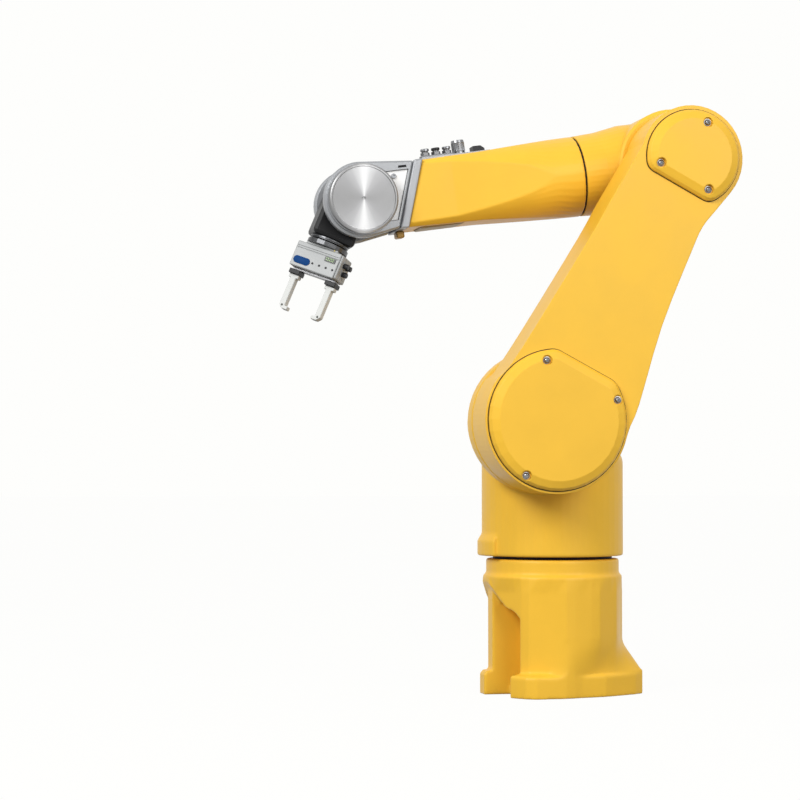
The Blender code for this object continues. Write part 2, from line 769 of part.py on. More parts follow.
# Elbow housing
def elbow_housing(parent):
    profile = [
        (0.0, ELBOW_REAR),
        (ELBOW_RADIUS - ELBOW_ROUND, ELBOW_REAR),
        (ELBOW_RADIUS - ELBOW_ROUND / 3, ELBOW_REAR + ELBOW_ROUND / 3),
        (ELBOW_RADIUS, ELBOW_REAR + ELBOW_ROUND),
        (ELBOW_RADIUS, ELBOW_FACE - DRUM_ROUND),
        (ELBOW_RADIUS - DRUM_ROUND, ELBOW_FACE),
        (0.0, ELBOW_FACE),
    ]
    drum = turned("elbow_housing", profile, SIDES_LARGE, "Y", (0.0, 0.0, 0.0), YELLOW, parent)
    neck_profile = [
        (0.0, 0.0),
        (ELBOW_FACE - FOREARM_SIDE - GAP, 0.0),
        (ELBOW_FACE - FOREARM_SIDE - GAP, NECK_COLLAR_END),
        (NECK_MIDDLE_RADIUS, NECK_MIDDLE),
        (TUBE_RADIUS, ELBOW_NECK_END),
        (0.0, ELBOW_NECK_END),
    ]
    neck = turned("elbow_neck", neck_profile, SIDES_LARGE, "X", (0.0, FOREARM_SIDE, FOREARM_RISE), YELLOW, parent)
    return fuse(drum, neck)


def elbow_back_cap(parent):
    start = ELBOW_REAR - GAP
    profile = [
        (0.0, start),
        (ELBOW_CAP_RADIUS, start),
        (ELBOW_CAP_RADIUS, start - ELBOW_CAP_DEPTH / 2),
        (ELBOW_CAP_RADIUS - ELBOW_CAP_DEPTH / 2, start - ELBOW_CAP_DEPTH),
        (0.0, start - ELBOW_CAP_DEPTH),
    ]
    return turned("elbow_back_cap", profile, SIDES_MEDIUM, "Y", (0.0, 0.0, 0.0), YELLOW, parent)


def elbow_seal_ring(parent):
    outer = ARM_HEAD_RADIUS - SPACER_INSET
    low = ELBOW_FACE + GAP
    return seal_ring("elbow_seal_ring", outer, low, ARM_INNER - GAP, "Y", (0.0, 0.0, 0.0), parent, YELLOW)


# Forearm
def ramp(share, start, end, low, high):
    part = max(0.0, min(1.0, (share - start) / (end - start)))
    return low + (high - low) * part


def shell_section(share):
    # A quarter of the section: flat side, round corner, flat top.
    first = SHELL_STATION_SHARES[1]
    radius = ramp(share, FLAT_START_SHARE, 1.0, TUBE_RADIUS, NOSE_RADIUS)
    width = ramp(share, FLAT_START_SHARE, FLAT_END_SHARE, TUBE_RADIUS, NOSE_HALF_WIDTH)
    height = ramp(share, first, WAIST_SHARE, TUBE_RADIUS, WAIST_HALF_HEIGHT)
    height -= ramp(share, WAIST_SHARE, 1.0, 0.0, WAIST_HALF_HEIGHT - NOSE_HALF_HEIGHT)
    side = max(FLAT_LEAST, acos(min(1.0, width / radius)))
    top = min(pi / 2 - FLAT_LEAST, asin(min(1.0, height / radius)))
    reach = radius * cos(side)
    rise = radius * sin(top)
    quarter = [(reach, radius * sin(side) * index / FLAT_STEPS) for index in range(FLAT_STEPS)]
    quarter += arc((0.0, 0.0), radius, side, top, CORNER_STEPS)
    ends = [radius * cos(top) * (FLAT_STEPS - index) / FLAT_STEPS for index in range(1, FLAT_STEPS)]
    quarter += [(end, rise) for end in ends]
    return quarter


def shell_ring(share):
    start = ELBOW_NECK_END + ROLL_GAP
    slant = NOSE_SLANT * max(0.0, share - FLAT_END_SHARE) / (1.0 - FLAT_END_SHARE)
    quarter = shell_section(share)
    ring = [*quarter, (0.0, quarter[-1][1])]
    ring += [(-y, z) for y, z in reversed(quarter)]
    ring += [(-y, -z) for y, z in quarter[1:]]
    ring += [(0.0, -quarter[-1][1])]
    ring += [(y, -z) for y, z in reversed(quarter[1:])]
    x = start + share * (NOSE_END - start)
    return [(x - slant * z, FOREARM_SIDE + y, z) for y, z in ring]


def forearm_shell(parent):
    shell = lofted("forearm_shell", [shell_ring(share) for share in SHELL_STATION_SHARES], YELLOW, parent)
    deck = prism(
        "deck_cutter",
        rectangle(DECK_START - GAP, DECK_END + GAP, FOREARM_SIDE - DECK_HALF_WIDTH, FOREARM_SIDE + DECK_HALF_WIDTH),
        DECK_TOP - DECK_THICKNESS - 3 * GAP,
        DECK_TOP + OVERRUN,
        "Z",
        YELLOW,
        parent,
    )
    margin = 2 * GAP
    keel = prism(
        "keel_seat_cutter",
        rectangle(
            KEEL_START - margin,
            KEEL_END + margin,
            FOREARM_SIDE - KEEL_HALF_WIDTH - margin,
            FOREARM_SIDE + KEEL_HALF_WIDTH + margin,
        ),
        -TUBE_RADIUS - OVERRUN,
        KEEL_SEAT - NOSE_HALF_HEIGHT,
        "Z",
        YELLOW,
        parent,
    )
    return cut(shell, deck, keel)


def forearm_seal_ring(parent):
    start = ELBOW_NECK_END + GAP
    end = ELBOW_NECK_END + ROLL_GAP - GAP
    outer = TUBE_RADIUS - COLUMN_EDGE
    return seal_ring("forearm_seal_ring", outer, start, end, "X", (0.0, FOREARM_SIDE, 0.0), parent)


def connector_plate(parent):
    half = DECK_HALF_WIDTH - 2 * GAP
    outline = rectangle(DECK_START, DECK_END, FOREARM_SIDE - half, FOREARM_SIDE + half)
    low = DECK_TOP - DECK_THICKNESS
    return prism("connector_plate", outline, low, DECK_TOP, "Z", CAST_GREY, parent)


def air_manifold(parent):
    low = DECK_TOP + GAP
    across = FOREARM_SIDE + FITTING_SPACING
    length = 3 * FITTING_SPACING
    outline = rectangle(DECK_END - length, DECK_END - GAP, across - FITTING_RADIUS, across + FITTING_RADIUS)
    bar = prism("air_manifold", outline, low, low + MANIFOLD_HEIGHT, "Z", STEEL, parent)
    profile = [
        (0.0, MANIFOLD_HEIGHT / 2),
        (FITTING_RADIUS * FITTING_WAIST_SHARE, MANIFOLD_HEIGHT / 2),
        (FITTING_RADIUS * FITTING_WAIST_SHARE, FITTING_HEIGHT / 2),
        (FITTING_RADIUS, FITTING_HEIGHT * 2 / 3),
        (FITTING_RADIUS, FITTING_HEIGHT),
        (0.0, FITTING_HEIGHT),
    ]
    shape = bmesh.new()
    for index in range(3):
        x = DECK_END - FITTING_SPACING * (index + 1 / 2)
        add_turned(shape, profile, SIDES_SMALL, "Z", Vector((x, across, low)))
    return fuse(bar, finish_mesh("air_fittings", shape, STEEL, parent))


def round_connector(parent):
    low = DECK_TOP + GAP
    profile = [
        (0.0, 0.0),
        (ROUND_CONNECTOR_RADIUS, 0.0),
        (ROUND_CONNECTOR_RADIUS, ROUND_CONNECTOR_HEIGHT),
        (0.0, ROUND_CONNECTOR_HEIGHT),
    ]
    x = DECK_START + PLUG_LENGTH + 2 * ROUND_CONNECTOR_RADIUS
    return turned("round_connector", profile, SIDES_MEDIUM, "Z", (x, FOREARM_SIDE, low), STEEL, parent)


def signal_plug(parent):
    low = DECK_TOP + GAP
    start = DECK_START + COVER_EDGE
    outline = [
        (start, low),
        (start + PLUG_LENGTH, low),
        (start + PLUG_LENGTH, low + PLUG_HEIGHT),
        (start + PLUG_LENGTH / 3, low + PLUG_HEIGHT),
        (start, low + PLUG_HEIGHT / 2),
    ]
    low_y = FOREARM_SIDE - PLUG_WIDTH / 2
    return prism("signal_plug", outline, low_y, low_y + PLUG_WIDTH, "Y", BLACK_PLASTIC, parent)


def underside_cover(parent):
    top = KEEL_SEAT - NOSE_HALF_HEIGHT - GAP
    low_edge = -NOSE_HALF_HEIGHT - KEEL_DEPTH
    outline = [
        (KEEL_START, top),
        (KEEL_END, top),
        (KEEL_END, -NOSE_HALF_HEIGHT - COLUMN_EDGE),
        (KEEL_END - KEEL_DEPTH, low_edge),
        (KEEL_START + 2 * KEEL_DEPTH, low_edge),
        (KEEL_START, -NOSE_HALF_HEIGHT - COLUMN_EDGE),
    ]
    low = FOREARM_SIDE - KEEL_HALF_WIDTH
    return prism("underside_cover", outline, low, low + 2 * KEEL_HALF_WIDTH, "Y", YELLOW, parent)


# Wrist fork
def slanted_band(start, end, half_height):
    lean = NOSE_SLANT * half_height
    return [
        (start + lean, -half_height),
        (end + lean, -half_height),
        (end - lean, half_height),
        (start - lean, half_height),
    ]


def wrist_plate(parent):
    half_width = FORK_OUTER + PLATE_PROUD
    half_height = NOSE_HALF_HEIGHT + PLATE_PROUD
    start = NOSE_END + GAP
    outline = slanted_band(start, start + PLATE_THICKNESS, half_height)
    low = FOREARM_SIDE - half_width
    plate = prism("wrist_plate", outline, low, low + 2 * half_width, "Y", CAST_GREY, parent)
    return bevel(plate, PLATE_EDGE, 2)


def fork_arm(name, side, parent):
    root = NOSE_END + PLATE_THICKNESS + 2 * GAP
    start = pi / 2 + radians(8.0)
    eye = arc((FOREARM_LENGTH, 0.0), FORK_RADIUS, start, -start, ARC_STEPS + 2)
    lean = NOSE_SLANT * FORK_ROOT_HALF_HEIGHT
    outline = [(root + lean, -FORK_ROOT_HALF_HEIGHT), (root - lean, FORK_ROOT_HALF_HEIGHT), *eye]
    faces = sorted((FOREARM_SIDE + side * FORK_INNER, FOREARM_SIDE + side * FORK_OUTER))
    arm = prism(name, outline, faces[0], faces[1], "Y", CAST_GREY, parent)
    bevel(arm, FORK_EDGE, 1)
    web_face = FOREARM_SIDE + side * (FORK_OUTER - FORK_WEB_DEPTH)
    web_open = FOREARM_SIDE + side * (FORK_OUTER + OVERRUN)
    lean = NOSE_SLANT * FORK_WEB_HALF_HEIGHT
    web = [
        (FORK_WEB_START + lean, -FORK_WEB_HALF_HEIGHT),
        (FOREARM_LENGTH, -FORK_WEB_HALF_HEIGHT),
        (FOREARM_LENGTH, FORK_WEB_HALF_HEIGHT),
        (FORK_WEB_START - lean, FORK_WEB_HALF_HEIGHT),
    ]
    pocket = prism(name + "_web", web, *sorted((web_face, web_open)), "Y", CAST_GREY, parent)
    boss_profile = [
        (0.0, side * (FORK_INNER + FORK_EDGE)),
        (EYE_RADIUS, side * (FORK_INNER + FORK_EDGE)),
        (EYE_RADIUS, side * EYE_OUTER),
        (0.0, side * EYE_OUTER),
    ]
    centre = (FOREARM_LENGTH, FOREARM_SIDE, 0.0)
    boss = turned(name + "_boss", boss_profile, SIDES_LARGE, "Y", centre, CAST_GREY, parent)
    return fuse(cut(arm, pocket), boss)


def wrist_disc(name, side, parent):
    start = side * (EYE_OUTER + GAP)
    end = side * (EYE_OUTER + GAP + DISC_THICKNESS)
    profile = [
        (0.0, start),
        (DISC_RIM, start),
        (DISC_RIM, end - side * DISC_FACE_DROP * 2),
        (DISC_RADIUS, end),
        (DISC_RADIUS - DISC_FACE_DROP, end),
        (DISC_RADIUS - 2 * DISC_FACE_DROP, end - side * DISC_FACE_DROP),
        (0.0, end - side * DISC_FACE_DROP),
    ]
    centre = (FOREARM_LENGTH, FOREARM_SIDE, 0.0)
    return turned(name, profile, SIDES_LARGE, "Y", centre, TURNED, parent)


def plate_latch(parent):
    start = NOSE_END + GAP + NOSE_SLANT * NOSE_HALF_HEIGHT
    top = -NOSE_HALF_HEIGHT - PLATE_PROUD - GAP
    outline = rectangle(start, start + LATCH_LENGTH, top - LATCH_HEIGHT, top)
    low = FOREARM_SIDE - LATCH_WIDTH / 2
    latch = prism("plate_latch", outline, low, low + LATCH_WIDTH, "Y", BRONZE, parent)
    return bevel(latch, COLUMN_EDGE, 1)


# Wrist housing
def wrist_housing(parent):
    half = [
        (HOUSING_RADIUS, HOUSING_HALF_WIDTH),
        (TRUNNION_RADIUS, HOUSING_HALF_WIDTH),
        (TRUNNION_RADIUS, FORK_INNER - GAP),
        (0.0, FORK_INNER - GAP),
    ]
    barrel_profile = [(r, FOREARM_SIDE - y) for r, y in reversed(half)]
    barrel_profile += [(r, FOREARM_SIDE + y) for r, y in half]
    barrel = turned("wrist_housing", barrel_profile, SIDES_LARGE, "Y", (0.0, 0.0, 0.0), BLACK, parent)
    low = -TOOL_OFFSET - HOUSING_NECK_HALF
    outline = rectangle(
        low, low + 2 * HOUSING_NECK_HALF, FOREARM_SIDE - HOUSING_NECK_DEPTH, FOREARM_SIDE + HOUSING_NECK_DEPTH
    )
    neck = prism("wrist_neck", outline, 0.0, HOUSING_END, "Z", BLACK, parent)
    return fuse(barrel, bevel(neck, HOUSING_EDGE, 2))


def wrist_hub(parent):
    low = HOUSING_END + GAP
    profile = [(0.0, low), (HUB_RADIUS, low), (HUB_RADIUS, HUB_END), (0.0, HUB_END)]
    return turned("wrist_hub", profile, SIDES_MEDIUM, "Z", (-TOOL_OFFSET, FOREARM_SIDE, 0.0), STEEL, parent)


def tool_flange(parent):
    low = HUB_END + GAP
    profile = [
        (0.0, low),
        (FLANGE_RADIUS - FLANGE_STEP, low),
        (FLANGE_RADIUS - FLANGE_STEP, FLANGE_START),
        (FLANGE_RADIUS, FLANGE_START + FLANGE_STEP),
        (FLANGE_RADIUS, FLANGE_END),
        (0.0, FLANGE_END),
    ]
    return turned("tool_flange", profile, SIDES_MEDIUM, "Z", (0.0, 0.0, 0.0), STEEL, parent)


# Gripper
def gripper_top():
    return FLANGE_END + ADAPTER_THICKNESS + 2 * GAP


def gripper_foot():
    return gripper_top() + GRIPPER_HEIGHT


def gripper_adapter(parent):
    low = FLANGE_END + GAP
    high = low + ADAPTER_THICKNESS
    half = GRIPPER_DEPTH / 2 - GRIPPER_EDGE
    outline = rectangle(-ADAPTER_RADIUS, ADAPTER_RADIUS, -half, half)
    return prism("gripper_adapter", outline, low, high, "Z", ANODISED, parent)


def gripper_body(parent):
    half_length = GRIPPER_LENGTH / 2
    half = GRIPPER_DEPTH / 2
    outline = rectangle(-half_length, half_length - END_PANEL_THICKNESS - GAP, -half, half)
    body = prism("gripper_body", outline, gripper_top(), gripper_foot(), "Z", ANODISED, parent)
    bevel(body, GRIPPER_EDGE, 2)
    grooves = bmesh.new()
    for share in GROOVE_HEIGHT_SHARES:
        low = gripper_top() + share * GRIPPER_HEIGHT
        groove = rectangle(-half_length - OVERRUN, half_length + OVERRUN, low, low + GROOVE_WIDTH)
        add_prism(grooves, groove, half - GROOVE_DEPTH, half + OVERRUN, "Y")
    return cut(body, finish_mesh("groove_cutter", grooves, ANODISED, parent))


def gripper_end_panel(parent):
    half = GRIPPER_DEPTH / 2 - END_PANEL_INSET
    outline = rectangle(-half, half, gripper_top() + END_PANEL_INSET, gripper_foot() - END_PANEL_INSET)
    high = GRIPPER_LENGTH / 2
    panel = prism("gripper_end_panel", outline, high - END_PANEL_THICKNESS, high, "X", ANODISED, parent)
    return bevel(panel, GRIPPER_EDGE, 1)


def gripper_connector(name, across, rise, parent):
    face = GRIPPER_LENGTH / 2 + GAP
    profile = [
        (0.0, 0.0),
        (GRIPPER_PLUG_RADIUS, 0.0),
        (GRIPPER_PLUG_RADIUS, GRIPPER_PLUG_LENGTH),
        (0.0, GRIPPER_PLUG_LENGTH),
    ]
    middle = (gripper_top() + gripper_foot()) / 2
    centre = (face, across, middle + rise)
    return turned(name, profile, SIDES_SMALL, "X", centre, BLACK_PLASTIC, parent)


def gripper_display(parent):
    x, drop = DISPLAY_PLACE
    low = gripper_top() + drop
    outline = rectangle(x, x + DISPLAY_WIDTH, low, low + DISPLAY_HEIGHT)
    face = GRIPPER_DEPTH / 2 + GAP
    return prism("gripper_display", outline, face, face + DISPLAY_DEPTH, "Y", GLASS, parent)


def jaw_rail(parent):
    low = gripper_foot() + GAP
    half = GRIPPER_LENGTH / 2 - COVER_EDGE
    outline = rectangle(-half, half, -RAIL_WIDTH / 2, RAIL_WIDTH / 2)
    return prism("jaw_rail", outline, low, low + RAIL_HEIGHT, "Z", STEEL, parent)


def jaw_carrier(name, side, parent):
    low = gripper_foot() + RAIL_HEIGHT + 2 * GAP
    high = low + CARRIER_HEIGHT
    outer = CARRIER_LENGTH / 2
    outline = [
        (-side * outer, low),
        (side * outer, low),
        (side * outer, high),
        (side * (outer - CARRIER_STEP), high),
        (-side * outer, high),
    ]
    half = CARRIER_WIDTH / 2
    carrier = prism(name, outline, -half, half, "Y", BLACK, parent)
    return bevel(carrier, GRIPPER_EDGE / 2, 1)


def finger(name, side, parent):
    root = gripper_foot() + RAIL_HEIGHT + CARRIER_HEIGHT + 3 * GAP
    tip = root + FINGER_LENGTH
    inner = -side * FINGER_THICKNESS / 2
    outer = side * FINGER_THICKNESS / 2
    outline = [
        (-side * FINGER_FOOT / 2, root),
        (side * FINGER_FOOT / 2, root),
        (side * FINGER_FOOT / 2, root + FINGER_FOOT_HEIGHT),
        (outer, root + FINGER_FOOT_HEIGHT),
        (outer, tip - TIP_CHAMFER),
        (outer - side * TIP_CHAMFER, tip),
        (inner - side * HOOK_REACH, tip),
        (inner - side * HOOK_REACH, tip - HOOK_HEIGHT),
        (inner, tip - HOOK_HEIGHT),
        (inner, root + FINGER_FOOT_HEIGHT),
        (-side * FINGER_FOOT / 2, root + FINGER_FOOT_HEIGHT),
    ]
    half = FINGER_WIDTH / 2
    made = prism(name, outline, -half, half, "Y", FINGER_GREY, parent)
    bevel(made, GRIPPER_EDGE / 2, 1)
    profile = [(0.0, -half - OVERRUN), (FINGER_HOLE_RADIUS, -half - OVERRUN)]
    profile += [(FINGER_HOLE_RADIUS, half + OVERRUN), (0.0, half + OVERRUN)]
    place = (0.0, 0.0, tip - TIP_CHAMFER)
    return cut(made, turned(name + "_hole", profile, SIDES_SMALL, "Y", place, FINGER_GREY, parent))


def build_base():
    body = frame("frame_base", (0.0, 0.0, 0.0))
    panel_frame = frame("frame_rear_panel", (0.0, 0.0, 0.0), 0.0, REAR_PANEL_TURN, body)
    base_casting(body, panel_frame)
    rear_panel(panel_frame)
    rear_connector("rear_connector_left", -1.0, panel_frame)
    rear_connector("rear_connector_right", 1.0, panel_frame)
    base_seal_ring(body)


def build_turret():
    body = frame("frame_turret", (0.0, 0.0, 0.0))
    shoulder_casting(body)
    shoulder_back_cap(body)
    shoulder_seal_ring(body)
    return body


def build_upper_arm(turret):
    place = (SHOULDER_OFFSET, 0.0, SHOULDER_HEIGHT)
    body = frame("frame_upper_arm", place, -UPPER_ARM_LEAN, 0.0, turret)
    upper_arm_casting(body)
    shoulder_cover(body)
    elbow_cover(body)
    return body


def build_elbow(upper_arm):
    turn = FOREARM_DROOP + UPPER_ARM_LEAN
    body = frame("frame_elbow", (0.0, 0.0, UPPER_ARM_LENGTH), turn, 0.0, upper_arm)
    elbow_housing(body)
    elbow_back_cap(body)
    elbow_seal_ring(body)
    return body


def build_forearm(elbow):
    body = frame("frame_forearm", (0.0, 0.0, FOREARM_RISE), 0.0, 0.0, elbow)
    forearm_shell(body)
    forearm_seal_ring(body)
    connector_plate(body)
    air_manifold(body)
    round_connector(body)
    signal_plug(body)
    underside_cover(body)
    wrist_plate(body)
    fork_arm("fork_arm_near", 1.0, body)
    fork_arm("fork_arm_far", -1.0, body)
    wrist_disc("wrist_disc_near", 1.0, body)
    wrist_disc("wrist_disc_far", -1.0, body)
    plate_latch(body)
    return body


def build_wrist(forearm):
    turn = WRIST_TURN - FOREARM_DROOP
    body = frame("frame_wrist", (FOREARM_LENGTH, 0.0, 0.0), turn, 0.0, forearm)
    wrist_housing(body)
    wrist_hub(body)
    return body


def build_tool(wrist):
    body = frame("frame_tool", (-TOOL_OFFSET, FOREARM_SIDE, 0.0), 0.0, TOOL_ROLL, wrist)
    tool_flange(body)
    gripper_adapter(body)
    gripper_body(body)
    gripper_end_panel(body)
    step = 3 * GRIPPER_PLUG_RADIUS / 2
    for index, (across, rise) in enumerate(((step, -step), (-step, -step), (0.0, step))):
        gripper_connector("gripper_connector_" + str(index + 1), across, rise, body)
    gripper_display(body)
    jaw_rail(body)
    return body


def build_jaws(tool):
    for name, side in (("left", -1.0), ("right", 1.0)):
        body = frame("frame_jaw_" + name, (side * JAW_CENTRE, 0.0, 0.0), 0.0, 0.0, tool)
        jaw_carrier("jaw_carrier_" + name, side, body)
        finger("finger_" + name, side, body)


def build_robot():
    clear_scene()
    build_base()
    turret = build_turret()
    upper_arm = build_upper_arm(turret)
    elbow = build_elbow(upper_arm)
    forearm = build_forearm(elbow)
    wrist = build_wrist(forearm)
    tool = build_tool(wrist)
    build_jaws(tool)
    bpy.context.view_layer.update()


build_robot()
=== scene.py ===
# Looks for the yellow six-axis robot arm with its parallel gripper.
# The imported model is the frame. Every added piece rides on one of its bodies.

import json
from math import asin, cos, pi, radians, sin, tau

import bmesh
import bpy
from mathutils import Matrix, Vector


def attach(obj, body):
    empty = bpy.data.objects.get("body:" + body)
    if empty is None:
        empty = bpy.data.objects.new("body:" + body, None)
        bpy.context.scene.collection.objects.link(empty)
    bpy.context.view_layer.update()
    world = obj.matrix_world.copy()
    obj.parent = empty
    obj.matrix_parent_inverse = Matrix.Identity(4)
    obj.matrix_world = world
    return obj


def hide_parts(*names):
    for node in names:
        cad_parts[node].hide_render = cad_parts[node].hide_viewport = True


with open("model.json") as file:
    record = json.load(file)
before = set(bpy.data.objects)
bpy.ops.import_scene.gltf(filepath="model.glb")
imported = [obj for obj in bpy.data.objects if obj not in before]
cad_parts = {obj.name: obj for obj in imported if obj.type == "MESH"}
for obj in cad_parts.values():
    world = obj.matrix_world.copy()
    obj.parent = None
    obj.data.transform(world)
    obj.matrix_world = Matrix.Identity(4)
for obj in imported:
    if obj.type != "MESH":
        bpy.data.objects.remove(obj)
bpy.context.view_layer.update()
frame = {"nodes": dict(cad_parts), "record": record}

# Dimensions repeated from the part's source, in metres and radians
GAP = 0.0003
SIDES = 36
PIECE_SHARP = radians(35.0)
CAD_SHARP = radians(30.0)
ARM_PLACE = (0.050, 0.0, 0.4685)
ARM_LEAN = radians(-28.05)
ARM_LENGTH = 0.500
ELBOW_TURN = radians(36.25)
FOREARM_RISE = 0.0086
FOREARM_LENGTH = 0.546
WRIST_TURN = radians(149.3)
TOOL_ROLL = radians(30.0)
FOREARM_SIDE = 0.045
TOOL_OFFSET = 0.016
PANEL_TURN = radians(35.0)
SCREW_FLOOR = 0.2303
COVER_SCREW_RADIUS = 0.0050
SHOULDER_SCREWS = ((0.064, 0.077), (-0.073, 0.077), (0.006, -0.107))
ELBOW_SCREWS = ((0.007, 0.062), (0.046, -0.038), (-0.047, -0.037))
COVER_BASE = 0.2220
GASKET_SECTION = ((0.0002, 0.00005), (0.0014, 0.00005), (0.0014, 0.0005), (0.0010, 0.0007), (0.0002, 0.0007))
SHOULDER_COVER = (0.0, 0.117, 0.1025, 0.030)
ELBOW_COVER = (ARM_LENGTH, 0.080, -0.054, 0.022)
EYE_OUTER = 0.0690
EYE_RADIUS = 0.0600
FORK_OUTER = 0.0590
FORK_WEB_START = 0.474
FORK_WEB_HALF_HEIGHT = 0.042
FORK_WEB_DEPTH = 0.007
FORK_WEB_THICKNESS = 0.0040
FORK_BOSS = (0.4860, 0.0325)
FORK_BOSS_PROFILE = (
    (0.0046, 0.0), (0.0046, 0.0012), (0.0040, 0.0019), (0.0024, 0.0019), (0.0020, 0.0008), (0.0003, 0.0006),
)
FORK_SLOT_THICKNESS = 0.0006
FORK_SLOT = (0.4626, 0.0455, 0.4765, 0.0492)
NOSE_SLANT = 0.35
DISC_RADIUS = 0.0550
DISC_RIM = 0.0585
DISC_THICKNESS = 0.013
DISC_GLINT_TURN = 3.43
DISC_RIM_RISE = 0.0014
DISC_GROOVE = 0.0009
DISC_CENTRE_RADIUS = 0.004
DECK_TOP = 0.061
DECK_END = 0.428
FITTING_SPACING = 0.019
FITTING_BAR_HALF = 0.0072
FITTING_BAR_TOP = 0.0032
FITTING_TOP = 0.0075
COLLAR_PROFILE = (
    (0.0062, 0.0), (0.0074, 0.0005), (0.0074, 0.0036), (0.0068, 0.0044), (0.0044, 0.0044), (0.0040, 0.0008),
    (0.0004, 0.0007),
)
THROAT_PROFILE = (
    (0.0034, 0.0010), (0.0037, 0.0014), (0.0037, 0.0030), (0.0030, 0.0034), (0.0024, 0.0016), (0.0004, 0.0015),
)
ROUND_CONNECTOR_X = 0.355
ROUND_CONNECTOR_RADIUS = 0.0115
ROUND_CONNECTOR_HEIGHT = 0.025
ROUND_CONNECTOR_STEPS = ((0.0, 1.0), (0.0040, 1.0), (0.0042, 0.90), (0.0056, 0.90), (0.0058, 1.0))
KNURL_DEPTH = 0.0006
GRIPPER_TOP = 0.0961
GRIPPER_HALF_DEPTH = 0.023
GRIPPER_SCREWS_X = (-0.0044, 0.0087, 0.0214, 0.0341)
GRIPPER_SCREWS_Z = 0.1269
GRIPPER_SCREW_SIZE = (0.0019, 0.0005)
BADGE_CENTRE = (-0.0246, 0.1281)
BADGE_HALF = (0.0155, 0.0064)

# Base, its rear panel and the bolts in it
FRONT_BOLT = (0.065, 0.046, 0.0143)
REAR_BOLT = (-0.132, 0.034, 0.0383)
REAR_PANEL_FACE = -0.1113
REAR_PANEL_SCREWS = ((0.040, 0.093), (-0.040, 0.093), (0.040, 0.157), (-0.040, 0.157))
REAR_PANEL_SCREW_SIZE = (0.0028, 0.0016)
REAR_CONNECTOR = (-0.1146, 0.021, 0.125)
PIN_PITCH = (0.0045, 0.0042)
PIN_PROFILE = ((0.0009, 0.0), (0.0009, 0.0030), (0.0004, 0.0036))
WASHER_PROFILE = ((0.0115, 0.0), (0.0120, 0.0006), (0.0120, 0.0020), (0.0070, 0.0024))
FLARE_BAND = (0.041, 0.098)
FLARE_FRONT = 0.035
FLARE_CLEAR = 0.085
FLARE_ROUNDS = 60

# Display lamps and the mark on the adapter, in the frame of the tool
LAMP_START = (0.0162, GRIPPER_TOP + 0.0132)
LAMP_PITCH = (0.0032, 0.0034)
LAMP_SIZE = (0.0021, 0.0003, 0.0016)
DISPLAY_RISE = 0.0010
INDEX_MARK = (0.0240, 0.0215, 0.0943)
INDEX_MARK_PROFILE = ((0.0012, 0.0), (0.0013, 0.0002), (0.0012, 0.0005), (0.0002, 0.0006))

# Each smoothed casting: node, new name, body, voxel size and rounds of smoothing
SMOOTH_CASTINGS = (
    ("base_casting", "base_casting_cast", "base", 0.0021, 7),
    ("shoulder_casting", "shoulder_casting_cast", "turret", 0.0024, 5),
    ("forearm_shell", "forearm_shell_cast", "forearm", 0.0016, 4),
)

# Lamps: name, place, aim, size and power
LAMPS = (
    ("key_lamp", (3.0, 2.4, 2.6), (0.1, 0.0, 0.55), (1.6, 1.6), 112.0),
    ("fill_lamp", (-1.4, 3.3, 1.9), (0.0, 0.0, 0.5), (2.4, 1.8), 56.0),
)
AMBIENT_STRENGTH = 0.46
FLOOR_SIZE = 40.0
FLOOR_DROP = 0.0005
FLOOR_GLOW = 1.082
FLOOR_GLOW_SHARE = 0.90
FLOOR_WHITE = (1.0, 1.0, 0.988, 1.0)
FLOOR_TONES = ((0.20, 0.20, 0.198, 1.0), (0.23, 0.23, 0.228, 1.0))
AMBIENT_COLOUR = (1.0, 0.99, 0.97, 1.0)
BACKDROP_WHITE = (0.99, 0.99, 0.975, 1.0)

# Places of the moving frames at rest
ARM = Matrix.Translation(ARM_PLACE) @ Matrix.Rotation(ARM_LEAN, 4, "Y")
ELBOW = ARM @ Matrix.Translation((0.0, 0.0, ARM_LENGTH)) @ Matrix.Rotation(ELBOW_TURN, 4, "Y")
FOREARM = ELBOW @ Matrix.Translation((0.0, 0.0, FOREARM_RISE))
WRIST = FOREARM @ Matrix.Translation((FOREARM_LENGTH, 0.0, 0.0)) @ Matrix.Rotation(WRIST_TURN, 4, "Y")
TOOL = WRIST @ Matrix.Translation((-TOOL_OFFSET, FOREARM_SIDE, 0.0)) @ Matrix.Rotation(TOOL_ROLL, 4, "Z")
PANEL = Matrix.Rotation(PANEL_TURN, 4, "Z")
DISC_CENTRE = FOREARM @ Matrix.Translation((FOREARM_LENGTH, FOREARM_SIDE, 0.0))
TO_PLUS_Y = Matrix.Rotation(-pi / 2, 4, "X")
TO_MINUS_Y = Matrix.Rotation(pi / 2, 4, "X")
TO_MINUS_X = Matrix.Rotation(-pi / 2, 4, "Y")

# Camera at the photo's viewing angle
CAMERA_TURN = radians(15.0)
CAMERA_DISTANCE = 4.0
CAMERA_HEIGHT = 0.375
FOCAL_PIXELS = 2284.0
IMAGE_PIXELS = 800.0
SENSOR_MM = 36.0
AXIS_PIXEL = (552.0, 477.0)


